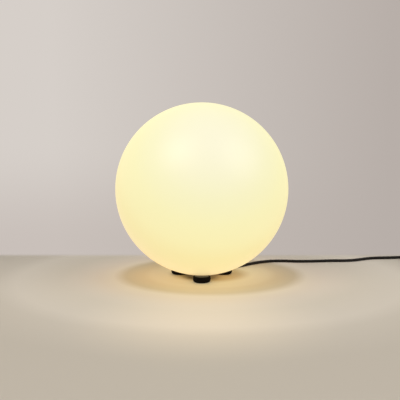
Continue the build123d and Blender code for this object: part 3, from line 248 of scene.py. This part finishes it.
dress(foot_material(), "foot_front", "foot_right", "foot_left")


# ---------------------------------------------------------------- screws and washers
# Zinc-plated steel pan head screws with a cross slot, and plain washers under the feet.
# They are headed and rolled, and show fine working marks and a slow bluish stain.
STAINS_A_METRE = 240.0
STAIN_START, STAIN_FULL = 0.4, 0.75
BRIGHT_ROUGHNESS_DROP = 0.05
STAIN_ROUGHNESS = 0.14
MARK_STRENGTH, MARK_DEPTH = 0.3, 0.00003


def vector_maths(tree, operation, *vectors):
    """A vector maths node's outputs, Vector and Value."""
    return add(tree, "ShaderNodeVectorMath", dict(enumerate(vectors)), operation=operation).outputs


def metal_group():
    """Drawn or turned metal: fine lines and slow stains."""
    tree, entry, leave = new_group(
        "worked_metal",
        {"Lines": ("Float", 4000.0), "Across": ("Vector", (1.0, 1.0, 1.0))},
        {"Height": "Float", "Stain": "Float"},
    )
    place = on_piece(tree)
    stretched = vector_maths(tree, "MULTIPLY", place, entry["Across"])["Vector"]
    feed(tree, leave["Height"], noise(tree, stretched, entry["Lines"], detail=2.0))
    feed(tree, leave["Stain"], noise(tree, place, STAINS_A_METRE, detail=5.0, roughness=0.6))
    return tree


worked = metal_group()


def metal(name, colour, stained, roughness, lines=3000.0, across=(1.0, 1.0, 1.0)):
    """A bare metal with its working marks, so many to the metre, and a slow stain."""
    made, tree, shader = new_material(name)
    marks = use_group(tree, worked, Lines=lines, Across=across)
    skin = ramp(tree, marks["Stain"], [(STAIN_START, tint(colour)), (STAIN_FULL, tint(stained))])
    dulled = maths(tree, "MULTIPLY", marks["Stain"], STAIN_ROUGHNESS)
    rough = maths(tree, "ADD", roughness - BRIGHT_ROUGHNESS_DROP, dulled)
    shade(tree, shader, Base_Color=skin, Roughness=rough, Metallic=1.0,
          Normal=relief(tree, marks["Height"], MARK_STRENGTH, MARK_DEPTH))
    return made


zinc_steel = metal("zinc_steel", (196, 200, 206), (168, 172, 180), roughness=0.34)
dress(zinc_steel, "foot_screws", "foot_washers", "clip_screws", "cord_clamp_screws",
      "holder_plate_screws", "lampholder_screws", "terminal_screws")


# ---------------------------------------------------------------- neck seal and spring clips
# A dark grey silicone ring keeps rain out of the cup, in a groove just above the ball's rim.
# Three bowed leaves of stainless spring steel, screwed to the cup, grip the inside of the neck.
silicone = moulded("silicone", (62, 62, 64), (78, 78, 80), roughness=0.42, grain_size=0.002,
                   grain_depth=0.00004, dusting=0.05)
spring_steel = metal("spring_steel", (206, 206, 204), (186, 186, 186), roughness=0.24, lines=900.0,
                     across=(1.0, 1.0, 8.0))
dress(silicone, "neck_seal")
dress(spring_steel, "spring_clip_1", "spring_clip_2", "spring_clip_3")


# ---------------------------------------------------------------- where the lead comes in
# A ribbed rubber sleeve clips into the wall of the base, and a moulded saddle with two screws takes
# the pull. Behind it the sheath is stripped, and a brown and a blue core go up to the holder.
sleeve_rubber = moulded("sleeve_rubber", (18, 15, 13), (28, 24, 21), roughness=0.62, grain_size=0.0011,
                        grain_depth=0.0001, dusting=0.05)
grey_moulding = moulded("grey_moulding", (206, 204, 198), (216, 214, 208), roughness=0.48,
                        grain_size=0.0008, grain_depth=0.00005, dusting=0.06)
brown_core = moulded("brown_core", (112, 66, 40), (122, 74, 46), roughness=0.34, grain_size=0.003,
                     grain_depth=0.00003, dusting=0.0)
blue_core = moulded("blue_core", (46, 102, 176), (56, 112, 186), roughness=0.34, grain_size=0.003,
                    grain_depth=0.00003, dusting=0.0)
dress(sleeve_rubber, "cord_strain_relief", "cord_inner_end")
dress(grey_moulding, "cord_clamp")
dress(brown_core, "core_brown")
dress(blue_core, "core_blue")


# ---------------------------------------------------------------- holder plate and lampholder
# A grey-white disc closes the cup. The black thermoset lampholder is screwed to it from below.
# Its screwed brass shell is rolled from sheet, and brass leaves on its floor meet the lamp.
thermoset = moulded("black_thermoset", (34, 32, 31), (46, 43, 41), roughness=0.30, grain_size=0.004,
                    grain_depth=0.00003, dusting=0.06)
brass = metal("brass", (222, 184, 104), (196, 150, 78), roughness=0.24, lines=2200.0,
              across=(0.4, 0.4, 3.0))
dress(grey_moulding, "holder_plate")
dress(thermoset, "lampholder_base", "lampholder_skirt")
dress(brass, "lampholder_shell", "centre_contact", "shell_contact", "terminals")


# ---------------------------------------------------------------- LED lamp
# A nickel-plated rolled cap with a dark glass ring and a soldered tip, a white plastic body,
# and an opal dome over a ring of yellow LEDs on a white aluminium board. It is lit.
DOME_GLOW = [(0.0, tint((255, 214, 158))), (0.5, tint((255, 240, 205))), (1.0, tint((255, 247, 226)))]
LAMP_GLOW = 0.8
LED_CIRCLE = 0.017
TRACK_OFFSET = 0.0026
TRACK_HALF_WIDTH = 0.0006
MAZE_SCALE = 420.0
MAZE_LINE = 0.07

nickel = metal("cap_nickel", (214, 211, 202), (190, 186, 176), roughness=0.22, lines=2600.0,
               across=(0.4, 0.4, 3.0))
solder = metal("solder", (178, 178, 180), (140, 140, 144), roughness=0.42)
dark_glass = moulded("dark_glass", (26, 22, 28), (34, 30, 36), roughness=0.12, grain_size=0.006,
                     grain_depth=0.00002, dusting=0.0)
lamp_white = moulded("lamp_white", (226, 226, 222), (234, 234, 230), roughness=0.40, grain_size=0.003,
                     grain_depth=0.00003, dusting=0.05)


def rise(tree, value, start, end, shape="LINEAR"):
    """Goes from 0 at the start to 1 at the end, and stays there."""
    return add(tree, "ShaderNodeMapRange", {"Value": value, "From Min": start, "From Max": end},
               interpolation_type=shape).outputs["Result"]


def opal_dome():
    """Opal plastic over the LEDs, brightest on top."""
    made, tree, shader = new_material("opal_dome")
    low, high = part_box("bulb_diffuser")
    glow = ramp(tree, rise(tree, parts_of(tree, on_piece(tree))["Z"], low.z, high.z), DOME_GLOW)
    shade(tree, shader, Base_Color=tint((118, 114, 104)), Roughness=0.35, Emission_Color=glow,
          Emission_Strength=LAMP_GLOW)
    return made


def led_board_material():
    """White lacquer over aluminium, with the copper rings showing faintly through it."""
    made, tree, shader = new_material("led_board_white")
    flat = vector_maths(tree, "MULTIPLY", on_piece(tree), (1.0, 1.0, 0.0))["Vector"]
    radius = vector_maths(tree, "LENGTH", flat)["Value"]
    off_circle = maths(tree, "ABSOLUTE", maths(tree, "SUBTRACT", radius, LED_CIRCLE))
    off_track = maths(tree, "ABSOLUTE", maths(tree, "SUBTRACT", off_circle, TRACK_OFFSET))
    track = maths(tree, "LESS_THAN", off_track, TRACK_HALF_WIDTH)
    skin = mix_colours(tree, track, tint((232, 232, 228)), tint((214, 212, 200)))
    shade(tree, shader, Base_Color=skin, Roughness=0.3)
    return made


def led_chip_material():
    """Yellow phosphor, lit."""
    made, tree, shader = new_material("led_phosphor")
    marks = use_group(tree, grain, Size=0.0004)
    skin = ramp(tree, marks["Height"], [(0.3, tint((236, 196, 60))), (0.7, tint((250, 220, 90)))])
    shade(tree, shader, Base_Color=skin, Roughness=0.4, Emission_Color=skin, Emission_Strength=LAMP_GLOW)
    return made


def circuit_material():
    """Green lacquer with paler copper tracks in a square maze."""
    made, tree, shader = new_material("circuit_green")
    maze = add(tree, "ShaderNodeTexVoronoi", {"Vector": on_piece(tree), "Scale": MAZE_SCALE},
               distance="CHEBYCHEV", feature="DISTANCE_TO_EDGE").outputs["Distance"]
    tracks = maths(tree, "LESS_THAN", maze, MAZE_LINE)
    skin = mix_colours(tree, tracks, tint((30, 104, 62)), tint((64, 142, 84)))
    shade(tree, shader, Base_Color=skin, Roughness=0.32, Coat_Weight=0.4, Coat_Roughness=0.2)
    return made


dress(nickel, "bulb_screw_cap")
dress(solder, "bulb_tip_contact")
dress(dark_glass, "bulb_cap_insulator")
dress(lamp_white, "bulb_housing")
dress(opal_dome(), "bulb_diffuser")
dress(led_board_material(), "led_board")
dress(led_chip_material(), "led_chips")
dress(circuit_material(), "driver_board")


# ---------------------------------------------------------------- globe
# One rotationally moulded ball of opal polyethylene, its neck turned up inside and cut at the top.
# It is lit from within, and its glow is painted on the shell by the direction from its centre: white
# above the lamp's dome, cream at the front, and painted shade, peach, low down and at the sides.
globe_low, globe_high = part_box("globe_shell")
GLOBE_RADIUS = (globe_high.x - globe_low.x) / 2
GLOBE_WALL = 0.004
NECK_BORE = 0.042
NECK_HEIGHT = 0.022
NECK_ROUND = 0.0016
SHARP_TURN = math.radians(40)
MERIDIANS, PARALLELS = 224, 112
# Painted light: the glow is whitest towards this direction, front and back alike, and turns to painted
# peach shade away from it.
PAINTED_BRIGHTEST = Vector((0.12, 0.80, 0.55)).normalized()
OPAL_PAINTED_GLOW = [
    (0.30, tint((226, 196, 142))),
    (0.42, tint((224, 204, 152))),
    (0.52, tint((221, 206, 148))),
    (0.60, tint((221, 209, 148))),
    (0.70, tint((223, 215, 157))),
    (0.80, tint((222, 217, 161))),
    (0.90, tint((219, 216, 170))),
    (1.00, tint((218, 215, 185))),
]
globe_centre = Vector((0.0, 0.0, globe_high.z - GLOBE_RADIUS))


def new_piece(name, bm, material, smooth=True):
    """A piece at the origin from a finished bmesh, which it frees."""
    mesh = bpy.data.meshes.new(name)
    bm.to_mesh(mesh)
    bm.free()
    mesh.materials.append(material)
    mesh.polygons.foreach_set("use_smooth", [smooth] * len(mesh.polygons))
    made = bpy.data.objects.new(name, mesh)
    bpy.context.scene.collection.objects.link(made)
    return made


def globe_mesh():
    """The ball, cut for its neck, the neck drawn up, then given its wall and its rounded edges."""
    bm = bmesh.new()
    bmesh.ops.create_uvsphere(bm, u_segments=MERIDIANS, v_segments=PARALLELS, radius=GLOBE_RADIUS,
                              matrix=Matrix.Translation(globe_centre))
    rim = globe_centre.z - math.sqrt(GLOBE_RADIUS ** 2 - NECK_BORE ** 2)
    everything = bm.verts[:] + bm.edges[:] + bm.faces[:]
    bmesh.ops.bisect_plane(bm, geom=everything, plane_co=(0, 0, rim), plane_no=(0, 0, -1),
                           clear_outer=True)
    rim_edges = [e for e in bm.edges if e.is_boundary]
    drawn = bmesh.ops.extrude_edge_only(bm, edges=rim_edges)["geom"]
    bmesh.ops.translate(bm, verts=[g for g in drawn if isinstance(g, bmesh.types.BMVert)],
                        vec=(0, 0, NECK_HEIGHT))
    bmesh.ops.recalc_face_normals(bm, faces=bm.faces)
    bmesh.ops.solidify(bm, geom=bm.faces[:], thickness=GLOBE_WALL)
    sharp = [e for e in bm.edges if len(e.link_faces) == 2 and e.calc_face_angle() > SHARP_TURN]
    bmesh.ops.bevel(bm, geom=sharp, offset=NECK_ROUND, segments=4, profile=0.5, affect="EDGES",
                    material=-1)
    return bm


def opal_material():
    """Opal plastic lit from within, its glow painted: the colour follows the direction from the ball's
    centre, with painted shade low down and at the sides.
    """
    made, tree, shader = new_material("globe_opal")
    place = on_piece(tree)
    centred = add(tree, "ShaderNodeMapping", {"Vector": place, "Location": tuple(-globe_centre)})
    outward = vector_maths(tree, "NORMALIZE", centred.outputs["Vector"])["Vector"]
    x, y, z = parts_of(tree, outward)
    both_ways = add(tree, "ShaderNodeCombineXYZ", {"X": x, "Y": maths(tree, "ABSOLUTE", y), "Z": z})
    near = vector_maths(tree, "DOT_PRODUCT", both_ways.outputs[0], tuple(PAINTED_BRIGHTEST))["Value"]
    glow = ramp(tree, rise(tree, near, -1.0, 1.0), OPAL_PAINTED_GLOW)
    orange_peel = noise(tree, place, scale=900.0, detail=3.0)
    shade(tree, shader, Base_Color=tint((150, 146, 132)), Roughness=0.42, Emission_Color=glow,
          Emission_Strength=1.0, Normal=relief(tree, orange_peel, strength=0.12, depth=0.0001))
    return made


globe = new_piece("globe", globe_mesh(), opal_material())
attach(globe, "globe")
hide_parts("globe_shell")


# ---------------------------------------------------------------- free lead
# A black rubber-sheathed two-core outdoor lead, 7.4 mm thick. It comes out of its sleeve under the
# ball, wanders off to the right over the ground, and its spare length is wound into a tied coil.
CORD_RADIUS = 0.0037
COIL_CENTRE = Vector((0.592, 0.177))
COIL_RADIUS = 0.050
COIL_TURNS = 5
COIL_STEP = 0.008
CLIMB_TURNS = 0.5
COIL_BOTTOM, COIL_LAYER = 0.0046, 0.0079
TOP_LAYER = COIL_BOTTOM + COIL_LAYER
POINTS_A_TURN = 16
FLAT = 0.0038
cord_route = [
    (0.0165, 0.02857, 0.00749),
    (0.02294, 0.03973, FLAT),
    (0.043, 0.070, FLAT),
    (0.072, 0.090, FLAT),
    (0.104, 0.114, FLAT),
    (0.136, 0.148, FLAT),
    (0.172, 0.174, FLAT),
    (0.212, 0.179, FLAT),
    (0.252, 0.171, FLAT),
    (0.298, 0.173, FLAT),
    (0.346, 0.182, FLAT),
    (0.386, 0.180, FLAT),
    (0.420, 0.196, FLAT),
    (0.456, 0.219, FLAT),
    (0.498, 0.224, FLAT),
    (0.546, 0.227, COIL_BOTTOM),
    (0.5846, 0.227, COIL_BOTTOM),
]
tail_route = [
    (0.5994, 0.227, TOP_LAYER),
    (0.628, 0.227, TOP_LAYER),
    (0.662, 0.220, 0.010),
    (0.686, 0.196, 0.009),
    (0.694, 0.170, 0.013),
    (0.694, 0.146, 0.013),
]


def coil_point(turns):
    """A control point of the coil: clockwise, in on the lower layer and out on the upper one."""
    inwards = min(turns, COIL_TURNS - turns)
    radius = (COIL_RADIUS - COIL_STEP * inwards) / math.cos(math.pi / POINTS_A_TURN)
    climb = min(max((turns - COIL_TURNS / 2) / CLIMB_TURNS + 0.5, 0.0), 1.0)
    angle = math.pi / 2 - 2 * math.pi * turns
    return (COIL_CENTRE.x + radius * math.cos(angle), COIL_CENTRE.y + radius * math.sin(angle),
            COIL_BOTTOM + COIL_LAYER * climb)


def round_cord(name, points, radius):
    """A round cord on one smooth curve with these control points."""
    curve = bpy.data.curves.new(name, "CURVE")
    curve.dimensions = "3D"
    spline = curve.splines.new("NURBS")
    spline.points.add(len(points) - 1)
    for point, place in zip(spline.points, points):
        point.co = (*place, 1.0)
    spline.order_u = 3
    spline.use_endpoint_u = True
    spline.resolution_u = 8
    curve.bevel_depth = radius
    curve.bevel_resolution = 5
    curve.use_fill_caps = True
    made = bpy.data.objects.new(name, curve)
    bpy.context.scene.collection.objects.link(made)
    return made


cable_rubber = moulded("cable_rubber", (16, 12, 8), (25, 20, 15), roughness=0.62, grain_size=0.0012,
                       grain_depth=0.0001, dusting=0.03, Specular_IOR_Level=0.25)
coil_route = [coil_point(k / POINTS_A_TURN) for k in range(COIL_TURNS * POINTS_A_TURN + 1)]
supply_lead = round_cord("supply_lead", cord_route + coil_route + tail_route, CORD_RADIUS)
supply_lead.data.materials.append(cable_rubber)
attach(supply_lead, "base")
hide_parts("cord_run", "cord_coil", "plug_tail")


# ---------------------------------------------------------------- ties round the coil
# Two black woven straps, each wrapped once round the bundle of turns and closed on itself.
# They are soft, so their corners are well rounded over the lead.
TIE_ANGLES = {"coil_tie_1": 20.0, "coil_tie_2": 200.0}
TIE_THICK = 0.0008
TIE_WIDTH = 0.009
TIE_EASE = 0.0002
TIE_SLACK = 0.0008
TIE_CORNER = 0.0034
YARN_SCALE = 160.0


def strap_material():
    """A plain weave of black yarn, from the strap's own length and width, with painted shade in its gaps
    and painted highlight on its crests.
    """
    made, tree, shader = new_material("woven_strap")
    cloth = add(tree, "ShaderNodeUVMap", uv_map="strap").outputs["UV"]
    warp, weft = [add(tree, "ShaderNodeTexWave", {"Vector": cloth, "Scale": YARN_SCALE, "Distortion": 0.4},
                      bands_direction=way).outputs["Fac"] for way in "XY"]
    weave = maths(tree, "MAXIMUM", warp, weft)
    settled = use_group(tree, dust, Amount=0.15)["Mask"]
    # Painted shade and highlight: the yarn is darker where the weave is low and paler on its crests.
    skin = ramp(tree, weave, [(0.2, tint((18, 18, 19))), (0.9, tint((50, 50, 52)))])
    skin = mix_colours(tree, settled, skin, DUST)
    shade(tree, shader, Base_Color=skin, Roughness=0.85, Sheen_Weight=0.3,
          Normal=relief(tree, weave, strength=0.7, depth=0.0002))
    return made


def strap_uv(bm):
    """Lays the strap's length along U and its width along V, in metres."""
    layer = bm.loops.layers.uv.new("strap")
    for face in bm.faces:
        upright = abs(face.normal.x) > abs(face.normal.z)
        for loop in face.loops:
            along = loop.vert.co.z if upright else loop.vert.co.x
            loop[layer].uv = (along, loop.vert.co.y)


def strap_mesh(angle):
    """A band round the coil's section, made along X and then turned to its place."""
    inner = COIL_RADIUS - COIL_STEP * COIL_TURNS / 2 - CORD_RADIUS - TIE_EASE
    outer = COIL_RADIUS + CORD_RADIUS + TIE_SLACK
    top = TOP_LAYER + CORD_RADIUS + TIE_EASE
    middle = Vector(((inner + outer) / 2, 0, (TIE_THICK + top) / 2))
    size = Vector((outer - inner, TIE_WIDTH, top - TIE_THICK))
    bm = bmesh.new()
    bmesh.ops.create_cube(bm, size=1.0)
    bmesh.ops.scale(bm, vec=size, verts=bm.verts)
    ends = [f for f in bm.faces if abs(f.normal.y) > 0.5]
    bmesh.ops.delete(bm, geom=ends, context="FACES_ONLY")
    corners = [e for e in bm.edges if abs(e.verts[0].co.y - e.verts[1].co.y) > TIE_WIDTH / 2]
    bmesh.ops.bevel(bm, geom=corners, offset=TIE_CORNER, segments=6, profile=0.5, affect="EDGES",
                    material=-1)
    bmesh.ops.recalc_face_normals(bm, faces=bm.faces)
    bmesh.ops.solidify(bm, geom=bm.faces[:], thickness=-TIE_THICK)
    strap_uv(bm)
    bmesh.ops.translate(bm, vec=middle, verts=bm.verts)
    bmesh.ops.rotate(bm, cent=(0, 0, 0), matrix=Matrix.Rotation(math.radians(angle), 3, "Z"),
                     verts=bm.verts)
    bmesh.ops.translate(bm, vec=(*COIL_CENTRE, 0), verts=bm.verts)
    return bm


woven_strap = strap_material()
for number, (node_name, angle) in enumerate(TIE_ANGLES.items(), 1):
    tie = new_piece(f"woven_tie_{number}", strap_mesh(angle), woven_strap)
    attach(tie, "base")
    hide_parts(node_name)


# ---------------------------------------------------------------- plug
# A flat-sided two-pin plug moulded in black rubber on the end of the lead, with a ribbed sleeve.
# Its two nickel-plated brass pins have rounded tips.
plug_rubber = moulded("plug_rubber", (20, 17, 15), (31, 27, 24), roughness=0.55, grain_size=0.0008,
                      grain_depth=0.00012, dusting=0.06)
pin_nickel = metal("pin_nickel", (220, 218, 210), (204, 200, 190), roughness=0.16, lines=2600.0,
                   across=(3.0, 0.4, 3.0))
dress(plug_rubber, "plug_body")
dress(pin_nickel, "plug_pins")


# ---------------------------------------------------------------- floor, light and camera
# A pale table top in front of a plain wall, under two soft lamps and a pale sky. The wall's tone is
# painted light, paler to the upper left and darker to the right. The ball's light on the table is
# painted too: a warm glow in rings round its shadow, a warmer base colour near it, and a pool in front.
# The camera stands 1.5 m in front of the ball and a little above it.
# Painted light on the wall: paler to the upper left and lower left, darker to the right.
WALL_UPPER_LEFT = tint((214, 207, 201))
WALL_LOWER_LEFT = tint((201, 192, 186))
WALL_RIGHT = tint((184, 175, 169))
WALL_LEFT_SIDE, WALL_RIGHT_SIDE = -0.22, 0.28
WALL_FOOT, WALL_MIDDLE = -0.16, 0.0
FLOOR_TONE = tint((206, 196, 180))
FLOOR_PAINTED_WARM = tint((208, 191, 155))
FLOOR_RADIUS = 6.0
PAINTED_WARM_ALL, PAINTED_WARM_NONE = 0.12, 0.30
TABLE_BACK = 0.283
TABLE_BLUR = 0.026
TABLE_FADE, TABLE_GONE = 1.0, 1.9
RING_CENTRE = (0.02, 0.03, 0.0)
# Painted light, by distance from the ball: a brown glow under its base, dips where its shadow lies, and
# warm rings that fade out.
PAINTED_RING_GLOW = [
    (0.03, (0.17, 0.10, 0.035)),
    (0.07, (0.02, 0.01, 0.00)),
    (0.10, (0.20, 0.18, 0.12)),
    (0.14, (0.15, 0.12, 0.08)),
    (0.16, (0.09, 0.055, 0.03)),
    (0.20, (0.03, 0.01, 0.00)),
    (0.23, (0.16, 0.135, 0.12)),
    (0.26, (0.135, 0.105, 0.095)),
    (0.35, (0.09, 0.08, 0.07)),
    (0.45, (0.11, 0.10, 0.09)),
    (0.50, (0.05, 0.045, 0.04)),
    (0.62, (0.00, 0.00, 0.00)),
]
# Painted light: a pool of the ball's warm light on the table in front of it.
POOL_CENTRE = (0.0, -0.37, 0.0)
POOL_RADIUS = 0.27
PAINTED_POOL_GLOW = (0.17, 0.12, 0.06, 1.0)
SKY_TONE = tint((240, 242, 246))
SKY_STRENGTH = 0.42
CAMERA_PLACE = (-0.0041, -1.4959, 0.3178)
CAMERA_DIP = math.radians(5.225)
CAMERA_LENS = 57.9
CAMERA_SENSOR = 36.0


def seen_instead(tree, lit, seen):
    """Lights as one shader, while the eye, gloss and glass see the other."""
    rays = add(tree, "ShaderNodeLightPath").outputs
    watched = maths(tree, "MAXIMUM", rays["Is Camera Ray"],
                    maths(tree, "MAXIMUM", rays["Is Glossy Ray"], rays["Is Transmission Ray"]))
    return add(tree, "ShaderNodeMixShader", {0: watched, 1: lit, 2: seen}).outputs[0]


def wall_tone_with_painted_light(tree, direction):
    """The wall's tone in a direction, with painted light: paler to the upper left, darker to the right."""
    parts = parts_of(tree, vector_maths(tree, "NORMALIZE", direction)["Vector"])
    across = rise(tree, parts["X"], WALL_LEFT_SIDE, WALL_RIGHT_SIDE)
    upwards = rise(tree, parts["Z"], WALL_FOOT, WALL_MIDDLE, "SMOOTHSTEP")
    left = mix_colours(tree, upwards, WALL_LOWER_LEFT, WALL_UPPER_LEFT)
    return mix_colours(tree, across, left, WALL_RIGHT)


def painted_ball_light(tree, place):
    """Painted light of the ball on the table: glowing rings round its shadow, and a pool in front."""
    from_ring = vector_maths(tree, "DISTANCE", place, RING_CENTRE)["Value"]
    ring = ramp(tree, from_ring, [(distance, (*glow, 1.0)) for distance, glow in PAINTED_RING_GLOW])
    from_pool = vector_maths(tree, "DISTANCE", place, POOL_CENTRE)["Value"]
    pool = rise(tree, from_pool, POOL_RADIUS, 0.0, "SMOOTHSTEP")
    return add(tree, "ShaderNodeMix", {0: pool, 6: ring, 7: PAINTED_POOL_GLOW}, data_type="RGBA",
               blend_type="ADD").outputs[2]


def floor_material():
    """A pale table top with the ball's warm light painted on it, which ends in the wall's painted tone."""
    made, tree, shader = new_material("pale_floor")
    place = on_piece(tree)
    away = vector_maths(tree, "LENGTH", place)["Value"]
    # Painted warm light: the table's base colour turns warmer near the ball.
    painted_warmth = rise(tree, away, PAINTED_WARM_NONE, PAINTED_WARM_ALL, "SMOOTHSTEP")
    shade(tree, shader, Base_Color=mix_colours(tree, painted_warmth, FLOOR_TONE, FLOOR_PAINTED_WARM), Roughness=0.65,
          Specular_IOR_Level=0.25, Emission_Color=painted_ball_light(tree, place), Emission_Strength=1.0)
    behind = rise(tree, parts_of(tree, place)["Y"], TABLE_BACK - TABLE_BLUR, TABLE_BACK + TABLE_BLUR,
                  "SMOOTHSTEP")
    gone = maths(tree, "MAXIMUM", behind, rise(tree, away, TABLE_FADE, TABLE_GONE, "SMOOTHSTEP"))
    outward = vector_maths(tree, "SUBTRACT", place, CAMERA_PLACE)["Vector"]
    plain = add(tree, "ShaderNodeEmission", {"Color": wall_tone_with_painted_light(tree, outward)}).outputs[0]
    faded = seen_instead(tree, shader.outputs[0], plain)
    blended = add(tree, "ShaderNodeMixShader", {0: gone, 1: shader.outputs[0], 2: faded}).outputs[0]
    feed(tree, tree.nodes["Material Output"].inputs["Surface"], blended)
    return made


bm = bmesh.new()
bmesh.ops.create_circle(bm, cap_ends=True, segments=96, radius=FLOOR_RADIUS)
floor = new_piece("floor", bm, floor_material(), smooth=False)

world = bpy.data.worlds.new("studio")
bpy.context.scene.world = world
world.use_nodes = True
sky = world.node_tree
sky_light = sky.nodes["Background"]
sky_light.inputs["Color"].default_value = SKY_TONE
sky_light.inputs["Strength"].default_value = SKY_STRENGTH
sky_direction = add(sky, "ShaderNodeTexCoord").outputs["Generated"]
wall = add(sky, "ShaderNodeBackground", {"Color": wall_tone_with_painted_light(sky, sky_direction)}).outputs[0]
feed(sky, sky.nodes["World Output"].inputs["Surface"], seen_instead(sky, sky_light.outputs[0], wall))


def soft_lamp(name, place, target, size, watts, colour):
    """A square soft box that points at a target."""
    light = bpy.data.lights.new(name, "AREA")
    light.shape = "SQUARE"
    light.size = size
    light.energy = watts
    light.color = tint(colour)[:3]
    made = bpy.data.objects.new(name, light)
    made.location = place
    made.rotation_euler = (Vector(target) - Vector(place)).to_track_quat("-Z", "Y").to_euler()
    bpy.context.scene.collection.objects.link(made)
    return made


soft_lamp("key_light", (-1.3, -1.5, 2.3), target=(0.0, 0.0, 0.15), size=1.6, watts=29.0,
          colour=(255, 250, 244))
soft_lamp("fill_light", (1.8, -1.1, 1.8), target=(0.1, 0.0, 0.1), size=1.8, watts=21.0,
          colour=(250, 249, 250))

camera_lens = bpy.data.cameras.new("camera")
camera_lens.lens = CAMERA_LENS
camera_lens.sensor_width = CAMERA_SENSOR
camera = bpy.data.objects.new("camera", camera_lens)
camera.location = CAMERA_PLACE
camera.rotation_euler = (math.pi / 2 - CAMERA_DIP, 0.0, 0.0)
bpy.context.scene.collection.objects.link(camera)
bpy.context.scene.camera = camera
bpy.context.scene.view_settings.view_transform = "Standard"
